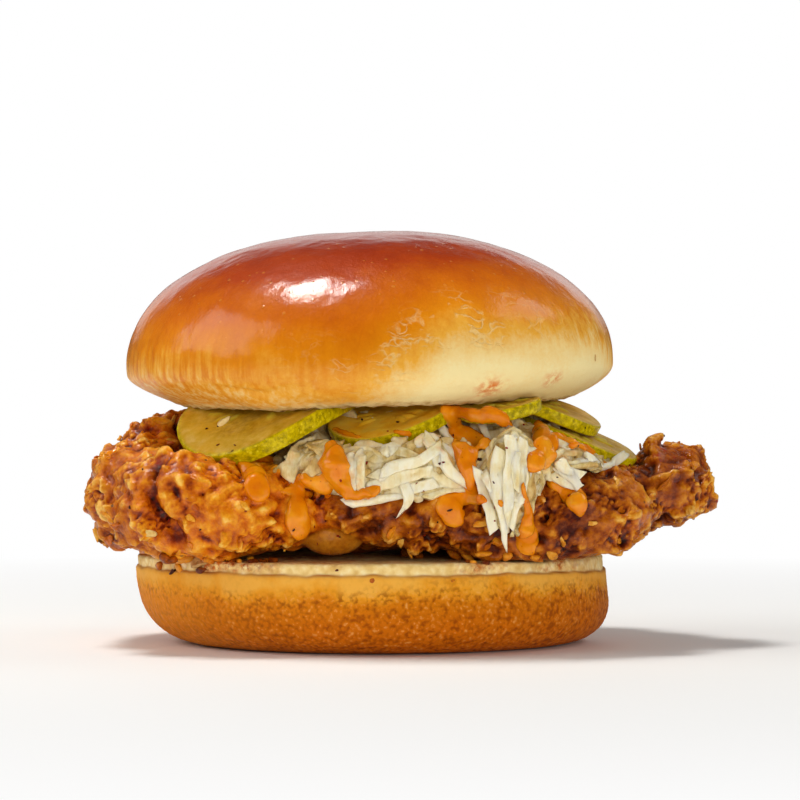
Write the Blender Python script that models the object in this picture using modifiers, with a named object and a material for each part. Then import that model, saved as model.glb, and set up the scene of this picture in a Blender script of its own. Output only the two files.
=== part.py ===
"""Fried chicken burger: heel bun, craggy chicken fillet, heap of cabbage slaw, pickle slices and crown bun.

Lengths are in metres and +Z is up. The origin is the centre of the heel bun's flat base, and the front is -Y.
"""

import math

import bmesh
import bpy
from mathutils import Matrix, Vector, noise

# Driving dimensions
GAP = 0.0004  # air left between pieces that touch
BUN_SIDES = 34
SHARP_ANGLE = math.radians(50)

HEEL_RADIUS = 0.0543
HEEL_HEIGHT = 0.0203
HEEL_FLAT_RADIUS = 0.0428
HEEL_CORNER_HEIGHT = 0.0102
HEEL_CORNER_POWER = 2.1  # 2 is a round corner, and more is squarer
HEEL_CRUST_HEIGHT = 0.0174  # the browned crust ends here, and the pale side of the crumb begins
HEEL_CRUST_STEP = 0.0006
HEEL_LEAN = 0.09  # sideways run per metre of height
HEEL_LEFT_CORNER = 0.0026  # the left bottom corner is that much rounder

CROWN_RADIUS = 0.0560
CROWN_CENTRE = -0.0003
CROWN_LIP_HEIGHT = 0.0548  # lowest point of the crown's lip above the table
CROWN_LIP_DROP = 0.0095  # from the widest ring down to the lip
CROWN_LIP_POWER = 2.35
CROWN_DOME_HEIGHT = 0.0304  # from the widest ring up to the top
CROWN_DOME_POWER = 2.12
CROWN_FLAT_RADIUS = 0.0410
CROWN_HOLLOW = 0.0060  # rise of the cut face over the filling
CROWN_WAVE = 0.0008  # unevenness of the baked top
CROWN_TILT = math.radians(1.3)

FILLET_VOXEL = 0.0018
FILLET_CRAG = 0.0026
FILLET_TRIANGLES = 2700

SLAW_VOXEL = 0.0020
SLAW_CRAG = 0.0022
SLAW_TRIANGLES = 700
SLAW_BED_TRIANGLES = 900  # of the fillet's print in the slaw
SLAW_BED_GAP = 0.0017  # more than GAP, because that print is coarse

PICKLE_EDGE = 0.0006
PICKLE_SIDES = 16

# Lumps of the fillet: centre and half sizes
FILLET_LOBES = (
    ((0.000, 0.000, 0.0325), (0.058, 0.043, 0.0110)),  # middle
    ((-0.034, 0.002, 0.0325), (0.030, 0.041, 0.0115)),  # left half
    ((0.034, 0.002, 0.0320), (0.035, 0.039, 0.0115)),  # right half
    ((-0.032, -0.035, 0.0312), (0.025, 0.0160, 0.0122)),  # big lump at the front left
    ((-0.044, -0.036, 0.0350), (0.0095, 0.0120, 0.0095)),
    ((-0.053, -0.006, 0.0360), (0.0122, 0.0240, 0.0105)),  # left end
    ((-0.0575, -0.008, 0.0298), (0.0070, 0.0150, 0.0068)),
    ((-0.054, -0.001, 0.0405), (0.0085, 0.0130, 0.0075)),
    ((-0.0478, 0.005, 0.0440), (0.0068, 0.0120, 0.0080)),  # knob that stands up at the left end
    ((0.006, -0.036, 0.0325), (0.020, 0.0110, 0.0092)),
    ((0.036, -0.035, 0.0305), (0.025, 0.0130, 0.0118)),  # front right
    ((0.050, -0.008, 0.0318), (0.0165, 0.0260, 0.0115)),  # right shoulder
    ((0.0685, -0.006, 0.0365), (0.0098, 0.0140, 0.0095)),  # tip that curls up at the right end
    ((0.0648, -0.012, 0.0445), (0.0022, 0.0040, 0.0045)),
    ((0.0725, -0.003, 0.0320), (0.0050, 0.0080, 0.0040)),
    ((-0.028, 0.034, 0.0320), (0.024, 0.0150, 0.0115)),  # back left
    ((0.030, 0.036, 0.0315), (0.026, 0.0130, 0.0110)),  # back right
)

# Lumps of the slaw heap: centre and half sizes
SLAW_LOBES = (
    ((0.012, 0.002, 0.0470), (0.041, 0.040, 0.0125)),  # mound
    ((-0.016, 0.006, 0.0465), (0.022, 0.032, 0.0110)),
    ((0.003, -0.043, 0.0415), (0.0235, 0.0085, 0.0095)),  # front edge
    ((0.0315, -0.0485, 0.0380), (0.0072, 0.0048, 0.0140)),  # strands that hang down the front
    ((0.044, -0.038, 0.0425), (0.0095, 0.0080, 0.0075)),
    ((0.045, -0.008, 0.0445), (0.0130, 0.0240, 0.0065)),  # right shoulder
    ((-0.002, 0.040, 0.0420), (0.026, 0.0080, 0.0095)),  # back edge
    ((-0.024, 0.044, 0.0390), (0.0070, 0.0050, 0.0110)),  # strands that hang down the back
    ((0.034, 0.037, 0.0430), (0.0130, 0.0085, 0.0080)),
)

# Pickle slices: centre, radius, thickness, then in degrees the direction in which the slice slopes down, its slope at
# the centre, and how far it curls from its high end to its low end
PICKLES = {
    "pickle_front_left": ((-0.0240, -0.0250, 0.0536), 0.0210, 0.0040, -130, 20, 46),
    "pickle_front": ((0.0046, -0.0300, 0.0521), 0.0147, 0.0033, -128, 19, 20),
    "pickle_front_middle": ((0.0286, -0.0355, 0.0545), 0.0097, 0.0030, -120, 9, 10),
    "pickle_right_upper": ((0.0373, -0.0110, 0.0547), 0.0155, 0.0028, -12, 15, 28),
    "pickle_right_lower": ((0.0473, -0.0120, 0.0473), 0.0140, 0.0028, -15, 21, 20),
    "pickle_back": ((-0.0080, 0.0290, 0.0530), 0.0190, 0.0035, 100, 15, 25),
    "pickle_back_right": ((0.0290, 0.0250, 0.0530), 0.0170, 0.0033, 55, 14, 20),
}

# Base colour, roughness
FINISHES = {
    "crown_crust": ((0.55, 0.20, 0.04), 0.25),
    "heel_crust": ((0.62, 0.33, 0.10), 0.80),
    "fried_coating": ((0.50, 0.20, 0.05), 0.45),
    "cabbage": ((0.85, 0.82, 0.66), 0.40),
    "pickle": ((0.45, 0.45, 0.06), 0.25),
}


def clear_scene():
    for obj in list(bpy.data.objects):
        bpy.data.objects.remove(obj)


def make_materials():
    made = {}
    for name, (colour, roughness) in FINISHES.items():
        material = bpy.data.materials.new(name)
        material.use_nodes = True
        shader = material.node_tree.nodes["Principled BSDF"]
        shader.inputs["Base Color"].default_value = (*colour, 1)
        shader.inputs["Roughness"].default_value = roughness
        made[name] = material
    return made


def add_object(name, mesh, collection):
    obj = bpy.data.objects.new(name, mesh)
    collection.objects.link(obj)
    return obj


def bake_modifiers(obj):
    """Replaces the object's mesh by what its modifiers make of it."""
    graph = bpy.context.evaluated_depsgraph_get()
    mesh = bpy.data.meshes.new_from_object(obj.evaluated_get(graph))
    mesh.name = obj.name
    obj.modifiers.clear()
    obj.data = mesh
    return obj


def thin_out(obj, triangles):
    obj.data.calc_loop_triangles()
    thin = obj.modifiers.new("thin", "DECIMATE")
    thin.ratio = min(1, triangles / len(obj.data.loop_triangles))
    return bake_modifiers(obj)


def move_points(obj, rule):
    for vertex in obj.data.vertices:
        vertex.co = rule(vertex.co.copy())


def curved_corner(centre, half_sizes, power, start, end, steps):
    """Points of (radius, height) along a superellipse, from one angle to another in degrees."""
    points = []
    for step in range(steps + 1):
        angle = math.radians(start + (end - start) * step / steps)
        across = math.copysign(abs(math.cos(angle)) ** (2 / power), math.cos(angle))
        up = math.copysign(abs(math.sin(angle)) ** (2 / power), math.sin(angle))
        points.append((centre[0] + half_sizes[0] * across, centre[1] + half_sizes[1] * up))
    return points


def turned(name, profile, sides, collection):
    """A solid of revolution from (radius, height) points that run down the outer side, from axis to axis."""
    mesh = bpy.data.meshes.new(name)
    points = [(max(radius, 0.0), 0.0, height) for radius, height in profile]
    points[0] = (0.0, 0.0, points[0][2])
    points[-1] = (0.0, 0.0, points[-1][2])
    mesh.from_pydata(points, [(i, i + 1) for i in range(len(points) - 1)], [])
    obj = add_object(name, mesh, collection)
    screw = obj.modifiers.new("turn", "SCREW")
    screw.steps = screw.render_steps = sides
    screw.use_merge_vertices = True
    screw.merge_threshold = 0.00001
    return bake_modifiers(obj)


def make_crown(collection):
    widest = CROWN_LIP_HEIGHT + CROWN_LIP_DROP
    dome = (CROWN_RADIUS, CROWN_DOME_HEIGHT)
    lip = (CROWN_RADIUS - CROWN_FLAT_RADIUS, CROWN_LIP_DROP)
    profile = curved_corner((0, widest), dome, CROWN_DOME_POWER, 90, 0, 9)
    profile += curved_corner((CROWN_FLAT_RADIUS, widest), lip, CROWN_LIP_POWER, -12, -90, 5)
    for share in (0.7, 0.4, 0.0):
        profile.append((CROWN_FLAT_RADIUS * share, CROWN_LIP_HEIGHT + CROWN_HOLLOW * (1 - share**2)))
    crown = turned("bun_top", profile, BUN_SIDES, collection)

    def risen(point):
        turn = math.atan2(point.y, point.x)
        swell = 1 + 0.006 * math.cos(2 * turn + 0.5) + 0.005 * math.cos(3 * turn + 1.9)
        above = max(0, point.z - widest)
        lift = CROWN_WAVE * noise.noise(point * 28) * min(1, above / 0.01)
        return Vector((CROWN_CENTRE + point.x * swell, point.y * swell, point.z + lift))

    move_points(crown, risen)
    pivot = Vector((0, 0, CROWN_LIP_HEIGHT))
    tilt = Matrix.Translation(pivot) @ Matrix.Rotation(-CROWN_TILT, 4, "Y") @ Matrix.Translation(-pivot)
    crown.data.transform(tilt)
    return crown


def make_heel(collection):
    corner = (HEEL_RADIUS - HEEL_FLAT_RADIUS, HEEL_CORNER_HEIGHT)
    cut_edge = HEEL_RADIUS - HEEL_CRUST_STEP
    profile = [(0, HEEL_HEIGHT), (0.030, HEEL_HEIGHT), (cut_edge - 0.0008, HEEL_HEIGHT)]
    profile += [(cut_edge, HEEL_HEIGHT - 0.0006), (cut_edge, HEEL_CRUST_HEIGHT)]
    profile += [(HEEL_RADIUS, HEEL_CRUST_HEIGHT - HEEL_CRUST_STEP)]
    profile += curved_corner((HEEL_FLAT_RADIUS, HEEL_CORNER_HEIGHT), corner, HEEL_CORNER_POWER, 0, -90, 7)
    profile += [(0, 0)]
    heel = turned("bun_bottom", profile, BUN_SIDES, collection)

    def settled(point):
        turn = math.atan2(point.y, point.x)
        swell = 1 + 0.005 * math.cos(2 * turn + 1.2) + 0.004 * math.cos(3 * turn)
        low = max(0, 1 - point.z / HEEL_CRUST_HEIGHT) ** 2
        shift = HEEL_LEAN * (HEEL_HEIGHT / 2 - point.z)
        shift += HEEL_LEFT_CORNER * low * max(0, -point.x / HEEL_RADIUS)
        return Vector((point.x * swell + shift, point.y * swell, point.z))

    move_points(heel, settled)
    return heel


def craggy_lump(name, lobes, voxel, crag, triangles, collection):
    """Ellipsoid lobes melted into one body by a voxel remesh, roughened, and thinned out to few triangles."""
    mesh = bpy.data.meshes.new(name)
    shape = bmesh.new()
    for centre, half_sizes in lobes:
        size = Matrix.Diagonal((*half_sizes, 1))
        bmesh.ops.create_icosphere(shape, subdivisions=4, radius=1, matrix=Matrix.Translation(centre) @ size)
    shape.to_mesh(mesh)
    shape.free()
    lump = add_object(name, mesh, collection)
    melt = lump.modifiers.new("melt", "REMESH")
    melt.mode = "VOXEL"
    melt.voxel_size = voxel
    soften = lump.modifiers.new("soften", "SMOOTH")
    soften.iterations = 3
    bake_modifiers(lump)

    normals = [vertex.normal.copy() for vertex in lump.data.vertices]
    for vertex, normal in zip(lump.data.vertices, normals, strict=True):
        coarse = noise.noise(vertex.co * 75)
        fine = abs(noise.noise(vertex.co * 190 + Vector((3, 1, 2))))
        vertex.co += normal * crag * (0.75 * coarse + 0.9 * (0.25 - fine))
    return thin_out(lump, triangles)


def swollen_copy(obj, by, collection):
    """A cutter that is the object grown by that much all over."""
    cutter = add_object(obj.name + "_cutter", obj.data.copy(), collection)
    grow = cutter.modifiers.new("grow", "DISPLACE")
    grow.mid_level = 0
    grow.strength = by
    return bake_modifiers(cutter)


def cut_away(obj, cutters):
    for cutter in cutters:
        cut = obj.modifiers.new("cut", "BOOLEAN")
        cut.operation = "DIFFERENCE"
        cut.solver = "EXACT"
        cut.object = cutter
        bake_modifiers(obj)


def keep_largest_body(obj):
    """Deletes the crumbs that a cut leaves loose."""
    shape = bmesh.new()
    shape.from_mesh(obj.data)
    unseen = set(shape.verts)
    bodies = []
    while unseen:
        body, front = set(), [unseen.pop()]
        while front:
            vertex = front.pop()
            body.add(vertex)
            for edge in vertex.link_edges:
                other = edge.other_vert(vertex)
                if other in unseen:
                    unseen.discard(other)
                    front.append(other)
        bodies.append(body)
    largest = max(bodies, key=len)
    bmesh.ops.delete(shape, geom=[vertex for vertex in shape.verts if vertex not in largest])
    shape.to_mesh(obj.data)
    shape.free()


def make_fillet(collection, cutters):
    fillet = craggy_lump("chicken_fillet", FILLET_LOBES, FILLET_VOXEL, FILLET_CRAG, FILLET_TRIANGLES, collection)
    width, depth = 0.3, 0.1  # of the block that cuts the fillet flat where it lies on the heel
    place = Matrix.Translation((0, 0, HEEL_HEIGHT + GAP - depth / 2))
    shape = bmesh.new()
    bmesh.ops.create_cube(shape, size=1, matrix=place @ Matrix.Diagonal((width, width, depth, 1)))
    mesh = bpy.data.meshes.new("below_fillet")
    shape.to_mesh(mesh)
    shape.free()
    cut_away(fillet, [add_object("below_fillet", mesh, cutters)])
    keep_largest_body(fillet)
    return fillet


def make_pickle(name, centre, radius, thickness, heading, slope, curl, collection):
    half = thickness / 2
    top = [(0, half), (radius * 0.55, half), (radius - PICKLE_EDGE, half)]
    side = [(radius, half - PICKLE_EDGE), (radius, PICKLE_EDGE - half)]
    under = [(across, -height) for across, height in reversed(top)]
    pickle = turned(name, top + side + under, PICKLE_SIDES, collection)
    bend = 2 * radius / math.radians(curl)

    def draped(point):
        angle = point.x / bend
        out = bend + point.z
        return Vector((out * math.sin(angle), point.y, out * math.cos(angle) - bend))

    move_points(pickle, draped)
    turn = Matrix.Rotation(math.radians(heading), 4, "Z") @ Matrix.Rotation(math.radians(slope), 4, "Y")
    pickle.data.transform(Matrix.Translation(centre) @ turn)
    return pickle


def make_slaw(collection, cutters):
    slaw = craggy_lump("slaw_heap", SLAW_LOBES, SLAW_VOXEL, SLAW_CRAG, SLAW_TRIANGLES, collection)
    cut_away(slaw, cutters)
    keep_largest_body(slaw)
    return slaw


def finish(obj, material):
    obj.data.materials.clear()
    obj.data.materials.append(material)
    obj.data.shade_smooth()
    obj.data.set_sharp_from_angle(angle=SHARP_ANGLE)


def make_burger():
    clear_scene()
    materials = make_materials()
    burger = bpy.data.collections.new("chicken_burger")
    cutters = bpy.data.collections.new("cutters")
    for collection in (burger, cutters):
        bpy.context.scene.collection.children.link(collection)

    heel = make_heel(burger)
    crown = make_crown(burger)
    fillet = make_fillet(burger, cutters)
    pickles = [make_pickle(name, *place, burger) for name, place in PICKLES.items()]

    # The pickles press their print into the crown's crumb, the fillet's coating and the slaw
    slaw_bed = thin_out(swollen_copy(fillet, SLAW_BED_GAP, cutters), SLAW_BED_TRIANGLES)
    slaw_roof = swollen_copy(crown, GAP, cutters)
    prints = [swollen_copy(pickle, GAP, cutters) for pickle in pickles]
    cut_away(crown, prints)
    cut_away(fillet, prints)
    slaw = make_slaw(burger, [slaw_bed, slaw_roof, *prints])

    finish(heel, materials["heel_crust"])
    finish(crown, materials["crown_crust"])
    finish(fillet, materials["fried_coating"])
    finish(slaw, materials["cabbage"])
    for pickle in pickles:
        finish(pickle, materials["pickle"])
    for cutter in cutters.objects:
        cutter.hide_render = True
        cutter.display_type = "WIRE"


make_burger()
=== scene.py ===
import math
import random

import bmesh
import bpy
import numpy as np
from mathutils import Matrix, Vector, noise
from mathutils.bvhtree import BVHTree
from mathutils.kdtree import KDTree


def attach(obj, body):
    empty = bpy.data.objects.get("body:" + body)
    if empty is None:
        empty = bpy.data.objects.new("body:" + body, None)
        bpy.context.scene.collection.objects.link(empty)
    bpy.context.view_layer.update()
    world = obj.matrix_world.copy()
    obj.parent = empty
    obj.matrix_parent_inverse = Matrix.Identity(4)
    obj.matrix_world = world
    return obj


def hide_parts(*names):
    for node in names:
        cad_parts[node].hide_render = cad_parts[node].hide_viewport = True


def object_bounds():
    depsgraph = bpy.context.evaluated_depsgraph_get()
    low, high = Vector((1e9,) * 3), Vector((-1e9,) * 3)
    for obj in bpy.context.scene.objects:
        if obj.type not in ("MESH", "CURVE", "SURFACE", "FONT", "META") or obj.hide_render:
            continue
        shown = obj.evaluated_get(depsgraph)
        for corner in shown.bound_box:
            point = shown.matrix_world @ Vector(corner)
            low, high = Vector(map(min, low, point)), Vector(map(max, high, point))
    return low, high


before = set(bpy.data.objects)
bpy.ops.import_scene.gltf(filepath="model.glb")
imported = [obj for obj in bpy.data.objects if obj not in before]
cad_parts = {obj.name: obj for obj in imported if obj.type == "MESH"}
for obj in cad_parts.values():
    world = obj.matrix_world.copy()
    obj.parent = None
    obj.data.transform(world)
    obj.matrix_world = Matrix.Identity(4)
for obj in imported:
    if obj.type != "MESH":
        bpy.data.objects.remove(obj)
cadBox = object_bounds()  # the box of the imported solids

# Lengths are metres unless a note says mm. The front of the burger is -Y.
mm = 0.001
noise.seed_set(12)  # otherwise noise_vector differs from run to run
viewPoint = Vector((0.00638, -1.0, 0.0700))
viewTarget = Vector((0.00638, 0.0, 0.0557))
frontPlane = -0.045  # places on the front are given as X and Z in mm on this plane


# tools for shapes

def srgb(red, green, blue):  # a colour as a picture editor shows it, 0 to 255
    parts = []
    for part in (red, green, blue):
        part = part / 255
        parts.append(part / 12.92 if part <= 0.04045 else ((part + 0.055) / 1.055) ** 2.4)
    return (*parts, 1.0)


def ease(value, low, high):  # 0 at low and below, 1 at high and beyond
    share = np.clip((np.asarray(value, float) - low) / (high - low), 0, 1)
    return share * share * (3 - 2 * share)


def bell(value, centre, width):  # 1 at the centre, falling off to both sides
    return np.exp(-(((value - centre) / width) ** 2))


def hump(turn, centre, width):  # the same for directions round the burger, in degrees
    return bell((np.degrees(turn) - centre + 180) % 360 - 180, 0, width)


def field(points, size, seed=0.0):  # smooth noise, -1 to 1, with lumps about that size
    shift = Vector((seed, -seed, 2 * seed))
    return np.array([noise.noise(Vector(point) / size + shift) for point in points])


def cells(points, size, seed=0.0):  # distances to the nearest and the next cell centre
    shift = Vector((seed, -seed, 2 * seed))
    near = [noise.voronoi(Vector(point) / size + shift)[0][:2] for point in points]
    return np.array(near).T


def diceFor(seed, number):  # own dice for every strewn thing, so that they don't depend on one another
    return random.Random(seed * 100003 + number)


def scatter(dice, *widths):
    return [dice.gauss(0, width) for width in widths]


def signedPower(value, power):
    return math.copysign(abs(value) ** power, value)


def outWay(turn):  # level, away from the burger's axis, that many degrees round it
    return Vector((math.cos(math.radians(turn)), math.sin(math.radians(turn)), 0))


def squareTo(way, axis):
    return (way - axis * way.dot(axis)).normalized()


def readVectors(items, label):
    flat = np.empty(len(items) * 3, np.float32)
    items.foreach_get(label, flat)
    return flat.reshape(-1, 3).astype(float)


def readPoints(mesh):
    return readVectors(mesh.vertices, "co")


def readNormals(mesh):
    return readVectors(mesh.vertex_normals, "vector")


def writePoints(mesh, points):
    mesh.vertices.foreach_set("co", np.asarray(points, np.float32).ravel())
    mesh.update()


def readEdges(mesh):
    flat = np.empty(len(mesh.edges) * 2, np.int32)
    mesh.edges.foreach_get("vertices", flat)
    return flat.reshape(-1, 2)


def evened(points, edges, rounds):  # every point moved to the middle of its neighbours, that many times
    count = np.bincount(edges.ravel(), minlength=len(points))[:, None]
    for _ in range(rounds):
        total = np.zeros_like(points)
        for axis in range(points.shape[1]):
            total[:, axis] += np.bincount(edges[:, 0], points[edges[:, 1], axis], len(points))
            total[:, axis] += np.bincount(edges[:, 1], points[edges[:, 0], axis], len(points))
        points = 0.5 * points + 0.5 * total / np.maximum(count, 1)
    return points


def standOut(mesh, rounds):  # how far each point stands out of the evened surface
    points = readPoints(mesh)
    return ((points - evened(points, readEdges(mesh), rounds)) * readNormals(mesh)).sum(axis=1)


def storeMask(mesh, name, values):
    mask = mesh.attributes.new(name, "FLOAT", "POINT")
    mask.data.foreach_set("value", np.asarray(values, np.float32).ravel())


def meshOf(name, points, faces):
    mesh = bpy.data.meshes.new(name)
    mesh.from_pydata([tuple(point) for point in points], [], faces)
    mesh.update()
    return mesh


def meltedMesh(mesh, voxel, softening):  # one closed skin round everything in the mesh
    helper = placed("melting", mesh)
    melt = helper.modifiers.new("melt", "REMESH")
    melt.mode = "VOXEL"
    melt.voxel_size = voxel
    if softening:
        soften = helper.modifiers.new("soften", "SMOOTH")
        soften.iterations = softening
    graph = bpy.context.evaluated_depsgraph_get()
    result = bpy.data.meshes.new_from_object(helper.evaluated_get(graph))
    bpy.data.objects.remove(helper)
    return result


def addBall(shape, pose, radii, fineness=2):
    matrix = pose @ Matrix.Diagonal((*radii, 1))
    bmesh.ops.create_icosphere(shape, subdivisions=fineness, radius=1, matrix=matrix)


def meshFrom(shape, name):
    mesh = bpy.data.meshes.new(name)
    shape.to_mesh(mesh)
    shape.free()
    return mesh


def posed(points, pose):
    pose = np.array(pose)
    return points @ pose[:3, :3].T + pose[:3, 3]


def placed(name, data, place=(0, 0, 0)):
    thing = bpy.data.objects.new(name, data)
    bpy.context.scene.collection.objects.link(thing)
    thing.location = place
    return thing


def addPiece(name, mesh, material, nodes=()):
    mesh.name = name
    piece = placed(name, mesh)
    mesh.materials.clear()
    mesh.materials.append(material)
    mesh.shade_smooth()
    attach(piece, "root")
    if nodes:
        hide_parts(*nodes)
    return piece


def treeOf(*meshes):
    points, faces = [], []
    for mesh in meshes:
        start = len(points)
        points += [vertex.co.copy() for vertex in mesh.vertices]
        faces += [[start + corner for corner in face.vertices] for face in mesh.polygons]
    return BVHTree.FromPolygons(points, faces)


def frontHit(tree, x, z):  # the surface point and normal seen at that place on the front, in mm
    ray = Vector((x * mm, frontPlane, z * mm)) - viewPoint
    place, normal, _, _ = tree.ray_cast(viewPoint, ray.normalized())
    return place, normal


def sideHit(tree, turn, z, middle=(0.0, 0.0)):  # the same, looking at the burger's axis from any side
    out = outWay(turn)
    start = Vector((middle[0], middle[1], z * mm)) + out * 0.3
    place, normal, _, _ = tree.ray_cast(start, -out)
    return place, normal


# node tools: they all work on the tree that is being filled

nodeTree = None


def fill(node, name, value):
    socket = node.inputs[name]
    if isinstance(value, bpy.types.NodeSocket):
        nodeTree.links.new(value, socket)
    else:
        socket.default_value = value


def addNode(kind, values=None, **settings):
    node = nodeTree.nodes.new(kind)
    for name, value in settings.items():
        setattr(node, name, value)
    for name, value in (values or {}).items():
        fill(node, name, value)
    return node


def calc(operation, first, second=0.0, clamp=False):
    node = addNode("ShaderNodeMath", {0: first, 1: second}, operation=operation, use_clamp=clamp)
    return node.outputs[0]


def times(first, second, clamp=False):
    return calc("MULTIPLY", first, second, clamp)


def plus(first, second):
    return calc("ADD", first, second)


def fromTo(value, low, high, newLow=0.0, newHigh=1.0):
    node = addNode("ShaderNodeMapRange", {0: value, 1: low, 2: high, 3: newLow, 4: newHigh})
    return node.outputs[0]


def mixed(factor, first, second, blend="MIX"):
    node = addNode("ShaderNodeMix", data_type="RGBA", blend_type=blend)
    fill(node, 0, factor)
    fill(node, 6, first)
    fill(node, 7, second)
    return node.outputs[2]


def tinted(colour, mask, share, tint):  # that share of the tint where the mask is 1
    return mixed(times(mask, share), colour, tint)


def blended(first, firstShare, second, secondShare):
    return plus(times(first, firstShare), times(second, secondShare))


def varied(value, mask, low, high):  # the mask moves the value between those two shifts
    return plus(value, fromTo(mask, 0, 1, low, high))


def ramp(value, stops):  # each stop is its place, then red, green and blue
    node = addNode("ShaderNodeValToRGB", {0: value})
    band = node.color_ramp
    while len(band.elements) > 1:
        band.elements.remove(band.elements[0])
    band.elements[0].position = stops[0][0]
    band.elements[0].color = srgb(*stops[0][1:])
    for place, *colour in stops[1:]:
        band.elements.new(place).color = srgb(*colour)
    return node.outputs[0]


def maskOf(name):
    return addNode("ShaderNodeAttribute", attribute_name=name).outputs["Fac"]


def scaled(place, *scale):  # below 1 it draws a pattern out along that axis
    return addNode("ShaderNodeMapping", {"Vector": place, "Scale": scale}).outputs[0]


def bump(height, strength, distance):
    values = {"Height": height, "Strength": strength, "Distance": distance}
    return addNode("ShaderNodeBump", values).outputs[0]


def newGroup(name, values, made):  # a place and some numbers in, one number out
    global nodeTree
    nodeTree = bpy.data.node_groups.new(name, "ShaderNodeTree")
    nodeTree.interface.new_socket("Place", in_out="INPUT", socket_type="NodeSocketVector")
    for label, value in values.items():
        socket = nodeTree.interface.new_socket(label, in_out="INPUT", socket_type="NodeSocketFloat")
        socket.default_value = value
    nodeTree.interface.new_socket(made, in_out="OUTPUT", socket_type="NodeSocketFloat")
    start = addNode("NodeGroupInput")
    end = addNode("NodeGroupOutput")
    return start.outputs, end


def useGroup(group, values):
    return addNode("ShaderNodeGroup", values, node_tree=group).outputs


def mottleGroup():  # soft uneven patches
    given, made = newGroup("mottle", {"Scale": 200.0, "Low": 0.4, "High": 0.6}, "Mask")
    patch = addNode("ShaderNodeTexNoise", {"Vector": given["Place"], "Scale": given["Scale"],
                                           "Detail": 4.0, "Roughness": 0.6})
    fill(made, "Mask", fromTo(patch.outputs[0], given["Low"], given["High"]))
    return nodeTree


def speckGroup():  # scattered round specks of uneven size
    given, made = newGroup("specks", {"Scale": 400.0, "Share": 0.3, "Size": 0.3}, "Mask")
    dots = addNode("ShaderNodeTexVoronoi", {"Vector": given["Place"], "Scale": given["Scale"]})
    chance = addNode("ShaderNodeSeparateColor", {0: dots.outputs["Color"]})
    chosen = calc("LESS_THAN", chance.outputs[0], given["Share"])
    reach = times(given["Size"], plus(chance.outputs[1], 0.35))
    inside = fromTo(calc("DIVIDE", dots.outputs["Distance"], reach), 1.0, 0.6)
    fill(made, "Mask", times(chosen, inside))
    return nodeTree


def pitGroup():  # a finely pitted baked or fried skin: 1 on the grains and 0 in the pits
    given, made = newGroup("pits", {"Scale": 600.0, "Unrest": 0.5}, "Height")
    stir = addNode("ShaderNodeTexNoise", {"Vector": given["Place"], "Scale": given["Scale"],
                                          "Detail": 3.0})
    away = addNode("ShaderNodeVectorMath", {0: stir.outputs["Color"], 1: (0.5, 0.5, 0.5)},
                   operation="SUBTRACT")
    reach = calc("DIVIDE", given["Unrest"], given["Scale"])
    push = addNode("ShaderNodeVectorMath", {0: away.outputs[0], "Scale": reach}, operation="SCALE")
    stirred = addNode("ShaderNodeVectorMath", {0: given["Place"], 1: push.outputs[0]}, operation="ADD")
    grain = addNode("ShaderNodeTexVoronoi", {"Vector": stirred.outputs[0], "Scale": given["Scale"]},
                    feature="SMOOTH_F1")
    rounded = fromTo(grain.outputs["Distance"], 0.75, 0.1)
    speck = fromTo(stir.outputs[0], 0.3, 0.7)
    fill(made, "Height", blended(rounded, 0.65, speck, 0.35))
    return nodeTree


mottle = mottleGroup()
specks = speckGroup()
pits = pitGroup()
print("shared node groups made")


def patchy(place, scale, low, high):
    return useGroup(mottle, {"Place": place, "Scale": scale, "Low": low, "High": high})["Mask"]


def specked(place, scale, share, size):
    return useGroup(specks, {"Place": place, "Scale": scale, "Share": share, "Size": size})["Mask"]


def pitted(place, scale, unrest):
    return useGroup(pits, {"Place": place, "Scale": scale, "Unrest": unrest})["Height"]


def newMaterial(name, roughness, **fixed):  # fixed values go on the shader's own sockets
    global nodeTree
    material = bpy.data.materials.new(name)
    material.use_nodes = True
    nodeTree = material.node_tree
    shader = nodeTree.nodes["Principled BSDF"]
    shader.inputs["Roughness"].default_value = roughness
    for label, value in fixed.items():
        shader.inputs[label.replace("_", " ")].default_value = value
    return material, shader, addNode("ShaderNodeTexCoord").outputs["Object"]


# buns

def superCorner(centre, halfSizes, power, start, end, steps):  # (radius, height) points, angles in degrees
    points = []
    for step in range(steps + 1):
        angle = math.radians(start + (end - start) * step / steps)
        across = signedPower(math.cos(angle), 2 / power)
        up = signedPower(math.sin(angle), 2 / power)
        points.append((centre[0] + halfSizes[0] * across, centre[1] + halfSizes[1] * up))
    return points


def turnedMesh(name, profile, around):  # profile runs from the axis at the top to the axis below
    turns = [2 * math.pi * step / around for step in range(around)]
    points = [(0, 0, profile[0][1])]
    for radius, height in profile[1:-1]:
        points += [(radius * math.cos(turn), radius * math.sin(turn), height) for turn in turns]
    points.append((0, 0, profile[-1][1]))
    last = len(points) - 1
    lowest = 1 + (len(profile) - 3) * around
    faces = []
    for step in range(around):
        after = (step + 1) % around
        faces.append((0, 1 + step, 1 + after))
        for start in range(1, lowest, around):
            faces.append((start + step, start + around + step, start + around + after, start + after))
        faces.append((lowest + step, last, lowest + after))
    return meshOf(name, points, faces)


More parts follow.
